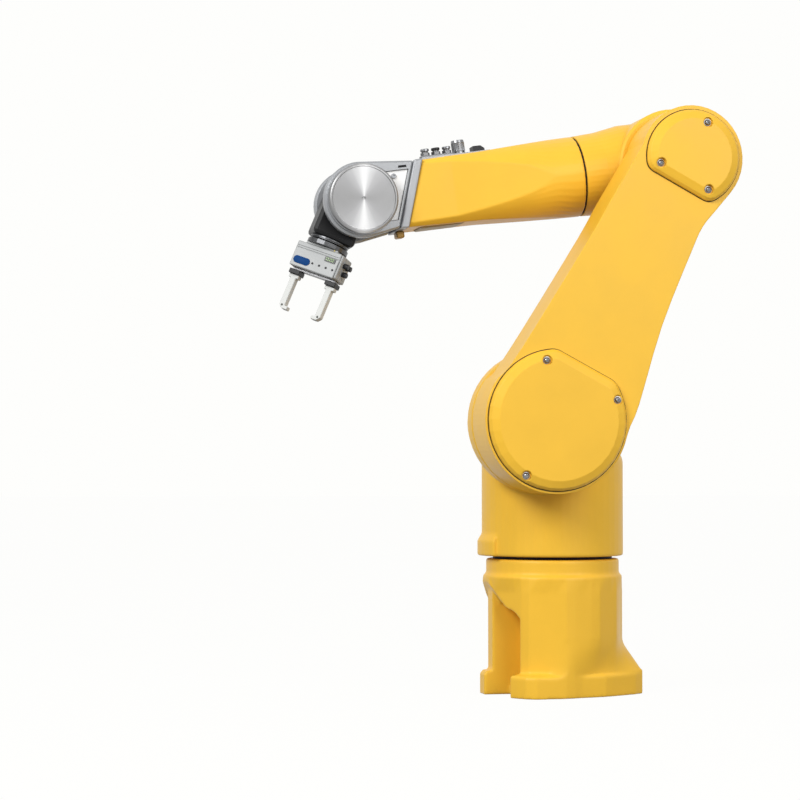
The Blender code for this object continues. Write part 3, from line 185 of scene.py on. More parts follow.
def add_camera():
    data = bpy.data.cameras.new("camera")
    camera = bpy.data.objects.new("camera", data)
    bpy.context.scene.collection.objects.link(camera)
    forward = Vector((-sin(CAMERA_TURN), -cos(CAMERA_TURN), 0.0))
    across = Vector((-cos(CAMERA_TURN), sin(CAMERA_TURN), 0.0))
    half = IMAGE_PIXELS / 2
    aim = forward + across * ((half - AXIS_PIXEL[0]) / FOCAL_PIXELS)
    aim.z = (AXIS_PIXEL[1] - half) / FOCAL_PIXELS
    camera.location = -forward * CAMERA_DISTANCE + Vector((0.0, 0.0, CAMERA_HEIGHT))
    camera.rotation_mode = "QUATERNION"
    camera.rotation_quaternion = aim.to_track_quat("-Z", "Y")
    data.sensor_width = SENSOR_MM
    data.lens = FOCAL_PIXELS * SENSOR_MM / IMAGE_PIXELS
    data.clip_end = 100.0
    bpy.context.scene.camera = camera


# Material helpers
def add_node(tree, kind, inputs=None, **settings):
    made = tree.nodes.new(kind)
    for key, value in settings.items():
        setattr(made, key, value)
    for key, value in (inputs or {}).items():
        if isinstance(value, bpy.types.NodeSocket):
            tree.links.new(value, made.inputs[key])
        else:
            made.inputs[key].default_value = value
    return made


def noise(tree, where, scale, detail=3.0, rough=0.55):
    return add_node(
        tree,
        "ShaderNodeTexNoise",
        {"Vector": where, "Scale": scale, "Detail": detail, "Roughness": rough},
    ).outputs["Fac"]


def spread(tree, value, low, high, start=0.3, end=0.7):
    return add_node(
        tree,
        "ShaderNodeMapRange",
        {"Value": value, "From Min": start, "From Max": end, "To Min": low, "To Max": high},
    ).outputs["Result"]


def scaled(colour, share):
    return (*[min(1.0, channel * share) for channel in colour], 1.0)


def mix_colour(tree, share, first, second):
    made = add_node(tree, "ShaderNodeMix", {"Factor": share}, data_type="RGBA")
    for index, value in ((6, first), (7, second)):
        if isinstance(value, bpy.types.NodeSocket):
            tree.links.new(value, made.inputs[index])
        else:
            made.inputs[index].default_value = value
    return made.outputs[2]


def edge_mask(tree, rounded):
    # How far the rounded normal leans from the true one: 1 on a sharp edge, 0 on a flat.
    true_normal = add_node(tree, "ShaderNodeNewGeometry").outputs["Normal"]
    facing = add_node(
        tree, "ShaderNodeVectorMath", {0: rounded, 1: true_normal}, operation="DOT_PRODUCT"
    ).outputs["Value"]
    return spread(tree, facing, 1.0, 0.0, 0.86, 0.995)


def surface(
    name,
    colour,
    roughness,
    metallic=0.0,
    mottle=0.06,
    mottle_scale=14.0,
    grain=900.0,
    stretch=(1.0, 1.0, 1.0),
    bump=0.08,
    bump_depth=0.0002,
    rough_spread=0.08,
    edge=0.0,
    wear_and_glint_share=1.25,
    specular=0.5,
):
    made = bpy.data.materials.new(name)
    made.use_nodes = True
    tree = made.node_tree
    shader = tree.nodes["Principled BSDF"]
    where = add_node(tree, "ShaderNodeTexCoord").outputs["Object"]
    grain_place = add_node(tree, "ShaderNodeMapping", {"Vector": where, "Scale": stretch}).outputs["Vector"]
    broad = noise(tree, where, mottle_scale, 4.0)
    fine = noise(tree, grain_place, grain, 2.0)
    tone = spread(tree, broad, 0.0, 1.0)
    shade = mix_colour(tree, tone, scaled(colour, 1.0 - mottle), scaled(colour, 1.0 + mottle / 2))
    speck = spread(tree, fine, 0.0, mottle, 0.45, 0.75)
    shade = mix_colour(tree, speck, shade, scaled(colour, 1.0 - 2 * mottle))
    rough = spread(tree, broad, roughness - rough_spread / 2, roughness + rough_spread / 2)
    normal_in = {"Height": fine, "Strength": bump, "Distance": bump_depth}
    # Edges are lightened in patches: a painted edge highlight, partly wear.
    if edge:
        rounded = add_node(tree, "ShaderNodeBevel", {"Radius": edge}, samples=4).outputs["Normal"]
        normal_in["Normal"] = rounded
        edge_wear_and_glint = edge_mask(tree, rounded)
        patchy_wear_and_glint = add_node(
            tree,
            "ShaderNodeMath",
            {0: edge_wear_and_glint, 1: spread(tree, noise(tree, where, 60.0), 0.15, 0.8)},
            operation="MULTIPLY",
        ).outputs["Value"]
        shade = mix_colour(tree, patchy_wear_and_glint, shade, scaled(colour, wear_and_glint_share))
    bumped = add_node(tree, "ShaderNodeBump", normal_in).outputs["Normal"]
    tree.links.new(shade, shader.inputs["Base Color"])
    tree.links.new(rough, shader.inputs["Roughness"])
    tree.links.new(bumped, shader.inputs["Normal"])
    shader.inputs["Metallic"].default_value = metallic
    shader.inputs["Specular IOR Level"].default_value = specular
    return made


def lamp_material(name, colour, strength):
    made = surface(name, colour, 0.3, mottle=0.1, grain=1500.0, bump=0.02)
    shader = made.node_tree.nodes["Principled BSDF"]
    shader.inputs["Emission Color"].default_value = (*colour, 1.0)
    shader.inputs["Emission Strength"].default_value = strength
    return made


def turned_with_painted_glint(name):
    # Turned metal: fine rings, and a fixed pair of bright wedges painted into the colour by angle, with darker
    # quadrants between: a painted highlight standing in for the reflection off the turning.
    made = surface(
        name, (0.48, 0.48, 0.49), 0.42, 1.0, mottle=0.03, mottle_scale=30.0, grain=1200.0, bump=0.03
    )
    tree = made.node_tree
    shader = tree.nodes["Principled BSDF"]
    place = add_node(tree, "ShaderNodeTexCoord").outputs["Object"]
    parts = add_node(tree, "ShaderNodeSeparateXYZ", {"Vector": place}).outputs
    angle = add_node(
        tree, "ShaderNodeMath", {0: parts["Y"], 1: parts["X"]}, operation="ARCTAN2"
    ).outputs["Value"]
    double = add_node(
        tree, "ShaderNodeMath", {0: angle, 1: 2.0, 2: DISC_GLINT_TURN}, operation="MULTIPLY_ADD"
    ).outputs["Value"]
    glint_wave = add_node(tree, "ShaderNodeMath", {0: double}, operation="COSINE").outputs["Value"]
    ramp = add_node(tree, "ShaderNodeValToRGB", {"Fac": spread(tree, glint_wave, 0.0, 1.0, -1.0, 1.0)})
    # Greys of the painted wedges, from the dark painted quadrants up to the bright painted highlight.
    glint_stops = ((0.0, 0.215), (0.48, 0.25), (0.80, 0.31), (0.95, 0.42), (1.0, 0.55))
    ramp.color_ramp.elements[0].color = (glint_stops[0][1],) * 3 + (1.0,)
    ramp.color_ramp.elements[1].color = (glint_stops[-1][1],) * 3 + (1.0,)
    for position, grey in glint_stops[1:-1]:
        ramp.color_ramp.elements.new(position).color = (grey, grey, grey * 1.01, 1.0)
    flat = add_node(tree, "ShaderNodeVectorMath", {0: place, 1: (1.0, 1.0, 0.0)}, operation="MULTIPLY")
    radius = add_node(
        tree, "ShaderNodeVectorMath", {0: flat.outputs["Vector"]}, operation="LENGTH"
    ).outputs["Value"]
    along = add_node(tree, "ShaderNodeCombineXYZ", {"X": radius}).outputs["Vector"]
    rings = noise(tree, along, 1500.0, 3.0, 0.7)
    shade = mix_colour(tree, spread(tree, rings, 0.0, 0.30), ramp.outputs["Color"], (0.30, 0.30, 0.31, 1.0))
    tree.links.new(shade, shader.inputs["Base Color"])
    return made


def make_materials():
    return {
        "yellow_paint": surface(
            "yellow_paint", (0.96, 0.560, 0.046), 0.40, mottle=0.05, mottle_scale=9.0, grain=650.0,
            bump=0.10, rough_spread=0.10, edge=0.0022, wear_and_glint_share=1.06, specular=0.28,
        ),
        "grey_cast": surface(
            "grey_cast", (0.35, 0.36, 0.375), 0.42, 0.45, mottle=0.10, mottle_scale=22.0, grain=1400.0,
            bump=0.14, rough_spread=0.14, edge=0.0012, wear_and_glint_share=1.35, specular=0.3,
        ),
        "turned_aluminium": turned_with_painted_glint("turned_aluminium"),
        "bright_steel": surface(
            "bright_steel", (0.24, 0.245, 0.255), 0.26, 1.0, mottle=0.10, mottle_scale=40.0, grain=1600.0,
            bump=0.05, edge=0.0006, wear_and_glint_share=1.3,
        ),
        "dark_steel": surface(
            "dark_steel", (0.16, 0.16, 0.165), 0.36, 0.9, mottle=0.15, mottle_scale=60.0, grain=1600.0,
            bump=0.06, edge=0.0004, wear_and_glint_share=1.6,
        ),
        "clear_anodised": surface(
            "clear_anodised", (0.40, 0.41, 0.41), 0.50, 0.1, mottle=0.04, mottle_scale=30.0, grain=700.0,
            stretch=(1.0, 1.0, 9.0), bump=0.06, edge=0.0006, wear_and_glint_share=1.25, specular=0.25,
        ),
        # Streaked tone and edges five times lighter: painted reflection stripes and a painted edge highlight
        # on the black.
        "black_housing": surface(
            "black_housing", (0.010, 0.010, 0.011), 0.42, mottle=0.45, mottle_scale=26.0, grain=420.0,
            stretch=(9.0, 9.0, 1.0), bump=0.20, edge=0.0012, wear_and_glint_share=5.0, specular=0.22,
        ),
        "black_seal": surface(
            "black_seal", (0.012, 0.012, 0.013), 0.62, mottle=0.25, mottle_scale=60.0, grain=900.0, bump=0.12,
            specular=0.2,
        ),
        "black_plastic": surface(
            "black_plastic", (0.014, 0.014, 0.016), 0.45, mottle=0.2, mottle_scale=60.0, grain=1500.0,
            bump=0.14, edge=0.0006, wear_and_glint_share=3.0, specular=0.3,
        ),
        "finger_grey": surface(
            "finger_grey", (0.70, 0.71, 0.69), 0.55, 0.0, mottle=0.04, mottle_scale=40.0, grain=500.0,
            stretch=(1.0, 1.0, 4.0), bump=0.03, edge=0.0007, wear_and_glint_share=1.2, specular=0.2,
        ),
        "bronze_latch": surface(
            "bronze_latch", (0.36, 0.21, 0.05), 0.42, 0.5, mottle=0.25, mottle_scale=70.0, grain=900.0,
            bump=0.12, edge=0.0008, wear_and_glint_share=1.8,
        ),
        "dark_display": surface(
            "dark_display", (0.012, 0.016, 0.013), 0.20, mottle=0.2, mottle_scale=60.0, grain=2000.0,
            bump=0.02, specular=0.2,
        ),
        "blue_plate": surface(
            "blue_plate", (0.004, 0.050, 0.19), 0.55, mottle=0.03, mottle_scale=25.0, grain=400.0,
            bump=0.02, rough_spread=0.02, specular=0.10,
        ),
        # Dark blotches in the colour stand in for the chrome's dark reflected bands: painted reflection.
        "flange_steel_painted_bands": surface(
            "flange_steel_painted_bands", (0.11, 0.112, 0.117), 0.34, 1.0, mottle=0.30, mottle_scale=26.0, grain=1600.0,
            stretch=(1.0, 1.0, 12.0), bump=0.06, edge=0.0006, wear_and_glint_share=1.5, rough_spread=0.16,
        ),
        "underside_painted_shade": surface(
            "underside_painted_shade", (0.50, 0.40, 0.235), 0.5, mottle=0.10, mottle_scale=18.0, grain=650.0,
            bump=0.10, edge=0.0012, wear_and_glint_share=1.1, specular=0.25,
        ),
        # Near-white: painted highlight for the bright fork pockets.
        "painted_glare_white": surface(
            "painted_glare_white", (0.98, 0.98, 0.975), 0.6, mottle=0.03, mottle_scale=24.0, grain=900.0,
            bump=0.10, edge=0.0010, wear_and_glint_share=1.05, specular=0.2,
        ),
        "green_lamp": lamp_material("green_lamp", (0.16, 0.30, 0.06), 0.35),
        "yellow_spot": surface("yellow_spot", (0.80, 0.62, 0.05), 0.4, mottle=0.1, mottle_scale=80.0),
    }


# Mesh helpers
def put_mesh(name, shape, place, body, finish):
    bmesh.ops.remove_doubles(shape, verts=shape.verts, dist=1e-7)
    bmesh.ops.recalc_face_normals(shape, faces=shape.faces)
    mesh = bpy.data.meshes.new(name)
    shape.to_mesh(mesh)
    shape.free()
    mesh.shade_smooth()
    mesh.set_sharp_from_angle(angle=PIECE_SHARP)
    made = bpy.data.objects.new(name, mesh)
    bpy.context.scene.collection.objects.link(made)
    made.matrix_world = place
    mesh.materials.append(MATERIALS[finish])
    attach(made, body)
    return made


def add_loft(shape, rings, closed=True):
    loops = [[shape.verts.new(point) for point in loop] for loop in rings]
    count = len(loops[0])
    if closed:
        shape.faces.new(loops[0])
        shape.faces.new(loops[-1])
    for lower, upper in zip(loops, loops[1:]):
        for index in range(count):
            following = (index + 1) % count
            shape.faces.new((lower[index], lower[following], upper[following], upper[index]))


def loft(name, rings, place, body, finish):
    shape = bmesh.new()
    add_loft(shape, rings)
    return put_mesh(name, shape, place, body, finish)


def ring(radius, height, sides=SIDES):
    turns = [tau * index / sides for index in range(sides)]
    return [(radius * cos(t), radius * sin(t), height) for t in turns]


def moved(rings, offset):
    return [[offset + Vector(point) for point in loop] for loop in rings]


def hex_ring(flat_radius, height):
    points = []
    for index in range(SIDES):
        angle = tau * index / SIDES
        radius = flat_radius / cos((angle % (pi / 3)) - pi / 6)
        points.append((radius * cos(angle), radius * sin(angle), height))
    return points


def lathe(name, profile, place, body, finish, sides=SIDES):
    return loft(name, [ring(radius, height, sides) for radius, height in profile], place, body, finish)


def box_rings(low, high, chamfer):
    # A box along z whose long edges and ends are chamfered.
    (ax, ay, az), (bx, by, bz) = low, high

    def level(inset, z):
        x0, x1, y0, y1 = ax + inset, bx - inset, ay + inset, by - inset
        c = chamfer
        return [
            (x0 + c, y0, z), (x1 - c, y0, z), (x1, y0 + c, z), (x1, y1 - c, z),
            (x1 - c, y1, z), (x0 + c, y1, z), (x0, y1 - c, z), (x0, y0 + c, z),
        ]

    return [level(chamfer, az), level(0.0, az + chamfer), level(0.0, bz - chamfer), level(chamfer, bz)]


def chamfered_box(name, low, high, chamfer, place, body, finish):
    return loft(name, box_rings(low, high, chamfer), place, body, finish)


# Fasteners
def socket_screw(name, radius, height, place, body, finish):
    edge = radius * 0.14
    hexagon = radius * 0.50
    rings = [
        ring(radius, 0.0),
        ring(radius, height - edge),
        ring(radius - edge, height),
        hex_ring(hexagon, height),
        hex_ring(hexagon * 0.97, height * 0.45),
        ring(radius * 0.1, height * 0.36),
    ]
    return loft(name, rings, place, body, finish)


def button_screw(name, radius, height, place, body):
    hexagon = radius * 0.46
    dome = [ring(radius * cos(t), height * sin(t)) for t in (0.0, 0.35, 0.75, 1.1)]
    rings = dome + [hex_ring(hexagon, height * 0.93), hex_ring(hexagon * 0.96, height * 0.45)]
    rings.append(ring(radius * 0.08, height * 0.4))
    return loft(name, rings, place, body, "bright_steel")


def hex_bolt(name, place, body):
    lathe(name + "_washer", WASHER_PROFILE, place, body, "bright_steel")
    rings = [
        hex_ring(0.0088, 0.0026),
        hex_ring(0.0095, 0.0032),
        hex_ring(0.0095, 0.0090),
        ring(0.0086, 0.0102),
        ring(0.0015, 0.0098),
    ]
    return loft(name, rings, place, body, "bright_steel")


MATERIALS = make_materials()

# Nodes whose look differs from their slot's
FINISHES = {
    "jaw_rail": "dark_steel",
    "tool_flange": "flange_steel_painted_bands",
    "wrist_hub": "flange_steel_painted_bands",
    # The underside cover is coloured a darker beige: painted shade on the underside.
    "underside_cover": "underside_painted_shade",
}


def dress_cad_nodes():
    slots = {entry["node"]: entry["material_slot"] for entry in frame["record"]["subparts"]}
    for name, item in frame["nodes"].items():
        item.data.materials.clear()
        item.data.materials.append(MATERIALS[FINISHES.get(name, slots[name])])
        item.data.shade_smooth()
        item.data.set_sharp_from_angle(angle=CAD_SHARP)


# Pieces
def ball_screw(name, radius, place, body):
    # A low ball head in its seat, with a small hexagon socket.
    stations = (0.0, 0.45, 0.9, 1.2)
    rings = [ring(radius * 1.25, 0.0, 28), ring(radius * 1.25, 0.0006, 28), ring(radius * 0.96, 0.0008, 28)]
    rings += [ring(radius * cos(t), 0.0012 + radius * 0.75 * sin(t), 28) for t in stations]
    rings.append(ring(radius * 0.24, 0.0012 + radius * 0.74, 28))
    rings.append(ring(radius * 0.20, radius * 0.45, 28))
    return loft(name, rings, place, body, "bright_steel")


def cover_screws():
    for cover, places, height in (("shoulder", SHOULDER_SCREWS, 0.0), ("elbow", ELBOW_SCREWS, ARM_LENGTH)):
        for index, (x, z) in enumerate(places):
            place = ARM @ Matrix.Translation((x, SCREW_FLOOR, height + z)) @ TO_PLUS_Y
            ball_screw(f"{cover}_cover_screw_{index + 1}", COVER_SCREW_RADIUS, place, "upper_arm")


def lid_outline(lid, grow):
    # The edge of a round lid with one straight side, grown by a little.
    centre, radius, chord, corner = lid
    size = radius + grow
    offset = abs(chord) + grow
    bend = corner + grow / 2
    turn = asin((offset - bend) / (size - bend))
    middle = ((size - bend) * cos(turn), offset - bend)
    half = []
    for index in range(9):
        angle = pi / 2 + (turn - pi / 2) * index / 8
        half.append((middle[0] + bend * cos(angle), middle[1] + bend * sin(angle)))
    for index in range(1, 41):
        angle = turn + (-pi / 2 - turn) * index / 40
        half.append((size * cos(angle), size * sin(angle)))
    whole = half + [(-x, z) for x, z in reversed(half[:-1])]
    flip = 1.0 if chord > 0.0 else -1.0
    return [(x, centre + flip * z) for x, z in whole]


def cover_seams():
    for word, lid in (("shoulder", SHOULDER_COVER), ("elbow", ELBOW_COVER)):
        rings = []
        for grow, rise in GASKET_SECTION:
            y = COVER_BASE + rise
            rings.append([ARM @ Vector((x, y, z)) for x, z in lid_outline(lid, grow)])
        rings.append(rings[0])
        shape = bmesh.new()
        add_loft(shape, rings, closed=False)
        put_mesh(f"{word}_cover_gasket", shape, Matrix(), "upper_arm", "black_seal")


def even_flare(mesh, place):
    # Further rounds on the sloping flare at the back of the foot alone.
    shape = bmesh.new()
    shape.from_mesh(mesh)
    low, high = FLARE_BAND
    sloping = []
    for corner in shape.verts:
        spot = place @ corner.co
        if low < spot.z < high and spot.x < FLARE_FRONT and Vector(spot.xy).length > FLARE_CLEAR:
            sloping.append(corner)
    for _ in range(FLARE_ROUNDS):
        bmesh.ops.smooth_vert(
            shape, verts=sloping, factor=0.5, use_axis_x=True, use_axis_y=True, use_axis_z=True
        )
    shape.to_mesh(mesh)
    shape.free()


def smooth_casting(node, name, body, voxel, rounds):
    # A copy of a casting with even small faces, so that its broad curves shade evenly.
    source = frame["nodes"][node]
    made = bpy.data.objects.new(name, source.data.copy())
    bpy.context.scene.collection.objects.link(made)
    made.matrix_world = source.matrix_world.copy()
    remesh = made.modifiers.new("remesh", "REMESH")
    remesh.mode = "VOXEL"
    remesh.voxel_size = voxel
    smooth = made.modifiers.new("smooth", "SMOOTH")
    smooth.factor = 0.5
    smooth.iterations = rounds
    bpy.context.view_layer.update()
    evaluated = made.evaluated_get(bpy.context.evaluated_depsgraph_get())
    mesh = bpy.data.meshes.new_from_object(evaluated)
    made.modifiers.clear()
    made.data = mesh
    if node == "base_casting":
        even_flare(mesh, made.matrix_world)
    mesh.shade_smooth()
    mesh.materials.clear()
    mesh.materials.append(MATERIALS["yellow_paint"])
    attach(made, body)
    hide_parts(node)


def base_bolts():
    for end, (x, y, z) in (("front", FRONT_BOLT), ("rear", REAR_BOLT)):
        for side, word in ((1.0, "left"), (-1.0, "right")):
            hex_bolt(f"base_bolt_{end}_{word}", Matrix.Translation((x, side * y, z)), "base")


def rear_panel_fittings():
    for index, (y, z) in enumerate(REAR_PANEL_SCREWS):
        place = PANEL @ Matrix.Translation((REAR_PANEL_FACE - GAP, y, z)) @ TO_MINUS_X
        button_screw(f"rear_panel_screw_{index + 1}", *REAR_PANEL_SCREW_SIZE, place, "base")
    for side, word in ((-1.0, "left"), (1.0, "right")):
        face, across, height = REAR_CONNECTOR
        centre = PANEL @ Matrix.Translation((face, side * across, height)) @ TO_MINUS_X
        shape = bmesh.new()
        for row in range(3):
            for index in range(4):
                foot = Vector(((row - 1) * PIN_PITCH[0], (index - 1.5) * PIN_PITCH[1], 0.0))
                pin = [ring(radius, rise, 12) for radius, rise in PIN_PROFILE]
                add_loft(shape, moved(pin, foot))
        put_mesh(f"rear_connector_pins_{word}", shape, centre, "base", "bright_steel")


def turned_disc(word, side):
    # The face has fine turned grooves, and the rim stands a little proud of it.
    base = EYE_OUTER + GAP
    face = base + DISC_THICKNESS - DISC_RIM_RISE
    profile = [(DISC_RIM, base), (DISC_RIM, face - 0.0010), (DISC_RIM - 0.0006, face)]
    profile += [(DISC_RADIUS, face + DISC_RIM_RISE), (DISC_RADIUS - 0.0012, face + DISC_RIM_RISE)]
    profile.append((DISC_RADIUS - 0.0020, face))
    radius = DISC_RADIUS - 0.0020
    while radius > DISC_CENTRE_RADIUS:
        radius -= DISC_GROOVE
        profile.append((radius, face - 0.00010))
        radius -= DISC_GROOVE
        profile.append((radius, face + 0.00002))
    profile += [(0.0026, face), (0.0022, face - 0.0012), (0.0002, face - 0.0018)]
    place = DISC_CENTRE @ (TO_PLUS_Y if side > 0.0 else TO_MINUS_Y)
    made = lathe(f"turned_disc_{word}", profile, place, "forearm", "turned_aluminium", 96)
    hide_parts(f"wrist_disc_{word}")


def fork_web_outline():
    # The fork arm's pocket between its slanted end and the round eye.
    high = FORK_WEB_HALF_HEIGHT - 2 * GAP
    reach = EYE_RADIUS + 2 * GAP
    turn = asin(high / reach)
    outline = [(FORK_WEB_START - high * NOSE_SLANT + 2 * GAP, high)]
    outline.append((FORK_WEB_START + high * NOSE_SLANT + 2 * GAP, -high))
    for index in range(25):
        angle = pi + turn - 2 * turn * index / 24
        outline.append((FOREARM_LENGTH + reach * cos(angle), reach * sin(angle)))
    return outline


def fork_webs():
    # A web fills most of each pocket, coloured near-white as a painted highlight of the bright pocket, and
    # carries one round boss; above it a thin black sheet is painted shade for a slot.
    outline = fork_web_outline()
    middle = sum(x for x, z in outline) / len(outline)
    for word, side in (("near", 1.0), ("far", -1.0)):
        floor = FOREARM_SIDE + side * (FORK_OUTER - FORK_WEB_DEPTH + GAP)
        rings = []
        for share, rise in ((1.0, 0.0), (1.0, 0.0034), (0.985, FORK_WEB_THICKNESS)):
            y = floor + side * rise
            rings.append([(middle + share * (x - middle), y, share * z) for x, z in outline])
        loft(f"fork_web_{word}", rings, FOREARM, "forearm", "painted_glare_white")
        # A flat black sheet on the arm: painted shade for the slot.
        slot_floor = FORK_OUTER + GAP
        near, far = sorted(FOREARM_SIDE + side * (slot_floor + rise) for rise in (0.0, FORK_SLOT_THICKNESS))
        low = (FORK_SLOT[0], near, FORK_SLOT[1])
        high = (FORK_SLOT[2], far, FORK_SLOT[3])
        chamfered_box(f"fork_slot_shade_{word}", low, high, 0.0002, FOREARM, "forearm", "black_seal")
        face = floor + side * (FORK_WEB_THICKNESS + GAP)
        place = FOREARM @ Matrix.Translation((FORK_BOSS[0], face, FORK_BOSS[1]))
        place = place @ (TO_PLUS_Y if side > 0.0 else TO_MINUS_Y)
        lathe(f"fork_boss_{word}", FORK_BOSS_PROFILE, place, "forearm", "grey_cast", 40)


def deck_fittings():
    # One low bar with three push-in air fittings; the middle one has a black collar.
    across = FOREARM_SIDE + FITTING_SPACING
    bar = bmesh.new()
    low = (DECK_END - 3 * FITTING_SPACING + GAP, across - FITTING_BAR_HALF, DECK_TOP + GAP)
    high = (DECK_END - GAP, across + FITTING_BAR_HALF, DECK_TOP + FITTING_BAR_TOP)
    add_loft(bar, box_rings(low, high, 0.0004))
    for index in range(3):
        x = DECK_END - FITTING_SPACING * (index + 0.5)
        foot = Vector((x, across, DECK_TOP + FITTING_BAR_TOP - 0.0004))
        stations = [hex_ring(0.0066, 0.0), hex_ring(0.0070, 0.0005)]
        stations += [hex_ring(0.0070, 0.0052), hex_ring(0.0064, 0.0058)]
        stations += [ring(0.0056, 0.0059), ring(0.0056, 0.0074), ring(0.0030, FITTING_TOP)]
        add_loft(bar, moved(stations, foot))
        place = FOREARM @ Matrix.Translation(foot + Vector((0.0, 0.0, FITTING_TOP + GAP)))
        finish = "black_plastic" if index == 1 else "bright_steel"
        lathe(f"air_fitting_collar_{index + 1}", COLLAR_PROFILE, place, "forearm", finish)
        throat_name = f"air_fitting_throat_{index + 1}"
        lathe(throat_name, THROAT_PROFILE, place, "forearm", "black_plastic", 32)
    made = put_mesh("air_fitting_bar", bar, FOREARM, "forearm", "dark_steel")
    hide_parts("air_manifold")
    knurled_connector()


def knurled_connector():
    place = FOREARM @ Matrix.Translation((ROUND_CONNECTOR_X, FOREARM_SIDE, DECK_TOP + GAP))
    wide, top = ROUND_CONNECTOR_RADIUS, ROUND_CONNECTOR_HEIGHT
    stations = [(wide * scale, height, 0.0) for height, scale in ROUND_CONNECTOR_STEPS]
    stations += [(wide, 0.0062, KNURL_DEPTH), (wide, 0.0200, KNURL_DEPTH), (wide, 0.0206, 0.0)]
    stations += [(wide - 0.0008, top, 0.0), (wide - 0.0024, top, 0.0)]
    stations += [(wide - 0.0028, top - 0.005, 0.0), (0.0006, top - 0.005, 0.0)]
    rings = [knurled_ring(radius, height, depth) for radius, height, depth in stations]
    made = loft("knurled_connector", rings, place, "forearm", "bright_steel")
    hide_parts("round_connector")


def knurled_ring(radius, height, depth, teeth=24):
    points = []
    for index in range(teeth * 4):
        turn = tau * index / (teeth * 4)
        drop = depth if index % 4 in (0, 1) else 0.0
        points.append(((radius - drop) * cos(turn), (radius - drop) * sin(turn), height))
    return points


def gripper_front():
    face = GRIPPER_HALF_DEPTH + GAP
    for index, x in enumerate(GRIPPER_SCREWS_X):
        place = TOOL @ Matrix.Translation((x, face, GRIPPER_SCREWS_Z)) @ TO_PLUS_Y
        name = f"gripper_front_screw_{index + 1}"
        socket_screw(name, *GRIPPER_SCREW_SIZE, place, "tool", "black_plastic")
    shape = bmesh.new()
    for row in range(2):
        for index in range(5):
            x = LAMP_START[0] + index * LAMP_PITCH[0]
            z = LAMP_START[1] + row * LAMP_PITCH[1]
            low = (x, face + DISPLAY_RISE + GAP, z)
            high = (x + LAMP_SIZE[0], low[1] + LAMP_SIZE[1], z + LAMP_SIZE[2])
            add_loft(shape, box_rings(low, high, 0.0001))
    put_mesh("display_lamps", shape, TOOL, "tool", "green_lamp")
    badge_plate(face)
    x, y, z = INDEX_MARK
    place = TOOL @ Matrix.Translation((x, y + GAP, z)) @ TO_PLUS_Y
    lathe("adapter_index_mark", INDEX_MARK_PROFILE, place, "tool", "yellow_spot", 24)


def badge_plate(face):
    # A plain rounded plate with no mark on it.
    across, up = BADGE_HALF
    rings = []
    for inset, height in ((0.0, 0.0), (0.0, 0.0006), (0.0003, 0.0008)):
        loop = []
        for index in range(48):
            angle = tau * index / 48
            side = (across - up) * (1.0 if cos(angle) >= 0.0 else -1.0)
            x = BADGE_CENTRE[0] + side + (up - inset) * cos(angle)
            loop.append((x, face + height, BADGE_CENTRE[1] + (up - inset) * sin(angle)))
        rings.append(loop)
    loft("gripper_badge_plate", rings, TOOL, "tool", "blue_plate")


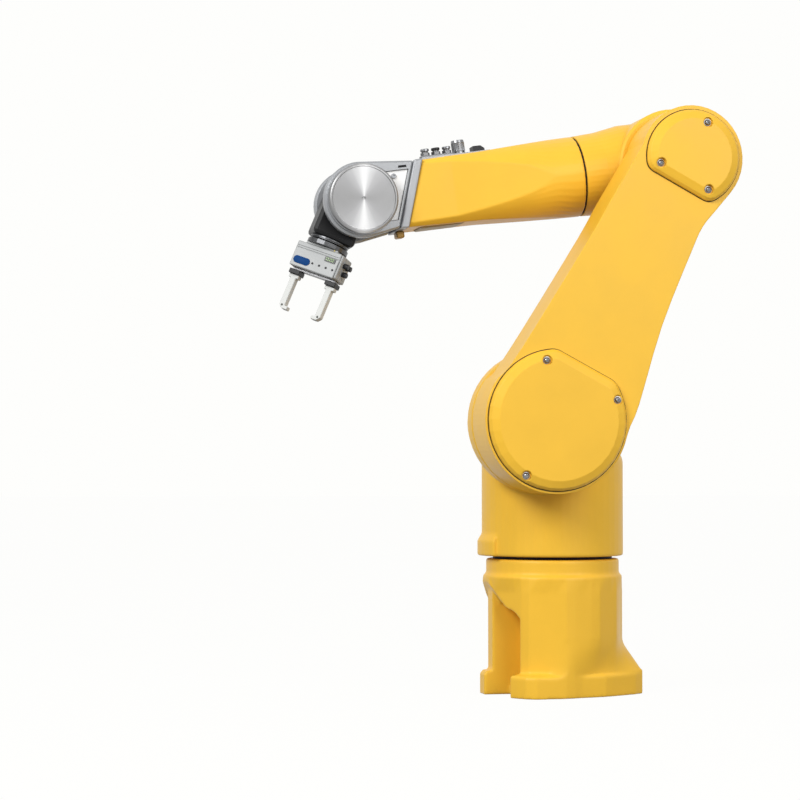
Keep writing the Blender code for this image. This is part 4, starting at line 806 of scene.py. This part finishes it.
# Floor, lamps and world
def add_floor():
    shape = bmesh.new()
    bmesh.ops.create_grid(shape, x_segments=1, y_segments=1, size=FLOOR_SIZE)
    mesh = bpy.data.meshes.new("floor")
    shape.to_mesh(mesh)
    shape.free()
    floor = bpy.data.objects.new("floor", mesh)
    bpy.context.scene.collection.objects.link(floor)
    floor.location = (0.0, 0.0, -FLOOR_DROP)
    made = bpy.data.materials.new("pale_floor")
    made.use_nodes = True
    tree = made.node_tree
    tree.nodes.clear()
    where = add_node(tree, "ShaderNodeTexCoord").outputs["Object"]
    tone = mix_colour(tree, noise(tree, where, 3.0), *FLOOR_TONES)
    matte = add_node(tree, "ShaderNodeBsdfDiffuse", {"Color": tone}).outputs["BSDF"]
    white = add_node(tree, "ShaderNodeEmission", {"Color": FLOOR_WHITE, "Strength": FLOOR_GLOW})
    share = add_node(
        tree, "ShaderNodeMath", {0: seen_ray(tree), 1: FLOOR_GLOW_SHARE}, operation="MULTIPLY"
    ).outputs["Value"]
    mixed = add_node(tree, "ShaderNodeMixShader", {0: share, 1: matte, 2: white.outputs["Emission"]})
    out = add_node(tree, "ShaderNodeOutputMaterial")
    tree.links.new(mixed.outputs["Shader"], out.inputs["Surface"])
    mesh.materials.append(made)


def seen_ray(tree):
    # 1 for rays that look at the backdrop, 0 for those that gather light from it.
    path = add_node(tree, "ShaderNodeLightPath").outputs
    first = add_node(
        tree, "ShaderNodeMath", {0: path["Is Camera Ray"], 1: path["Is Glossy Ray"]}, operation="MAXIMUM"
    ).outputs["Value"]
    return add_node(
        tree, "ShaderNodeMath", {0: first, 1: path["Is Transmission Ray"]}, operation="MAXIMUM"
    ).outputs["Value"]


def add_world():
    world = bpy.data.worlds.new("studio")
    bpy.context.scene.world = world
    world.use_nodes = True
    tree = world.node_tree
    tree.nodes.clear()
    light = add_node(
        tree, "ShaderNodeBackground", {"Color": AMBIENT_COLOUR, "Strength": AMBIENT_STRENGTH}
    )
    white = add_node(tree, "ShaderNodeBackground", {"Color": BACKDROP_WHITE, "Strength": 1.0})
    mixed = add_node(
        tree,
        "ShaderNodeMixShader",
        {0: seen_ray(tree), 1: light.outputs["Background"], 2: white.outputs["Background"]},
    )
    out = add_node(tree, "ShaderNodeOutputWorld")
    tree.links.new(mixed.outputs["Shader"], out.inputs["Surface"])


def add_lamp(name, place, aim, size, power):
    data = bpy.data.lights.new(name, "AREA")
    data.shape = "RECTANGLE"
    data.size, data.size_y = size
    data.energy = power
    lamp = bpy.data.objects.new(name, data)
    bpy.context.scene.collection.objects.link(lamp)
    lamp.location = place
    lamp.rotation_mode = "QUATERNION"
    lamp.rotation_quaternion = (Vector(aim) - Vector(place)).to_track_quat("-Z", "Y")


bpy.context.scene.view_settings.view_transform = "Standard"
add_camera()
add_world()
add_floor()
for lamp_values in LAMPS:
    add_lamp(*lamp_values)
dress_cad_nodes()
cover_screws()
cover_seams()
for casting_values in SMOOTH_CASTINGS:
    smooth_casting(*casting_values)
base_bolts()
rear_panel_fittings()
turned_disc("near", 1.0)
turned_disc("far", -1.0)
fork_webs()
deck_fittings()
gripper_front()
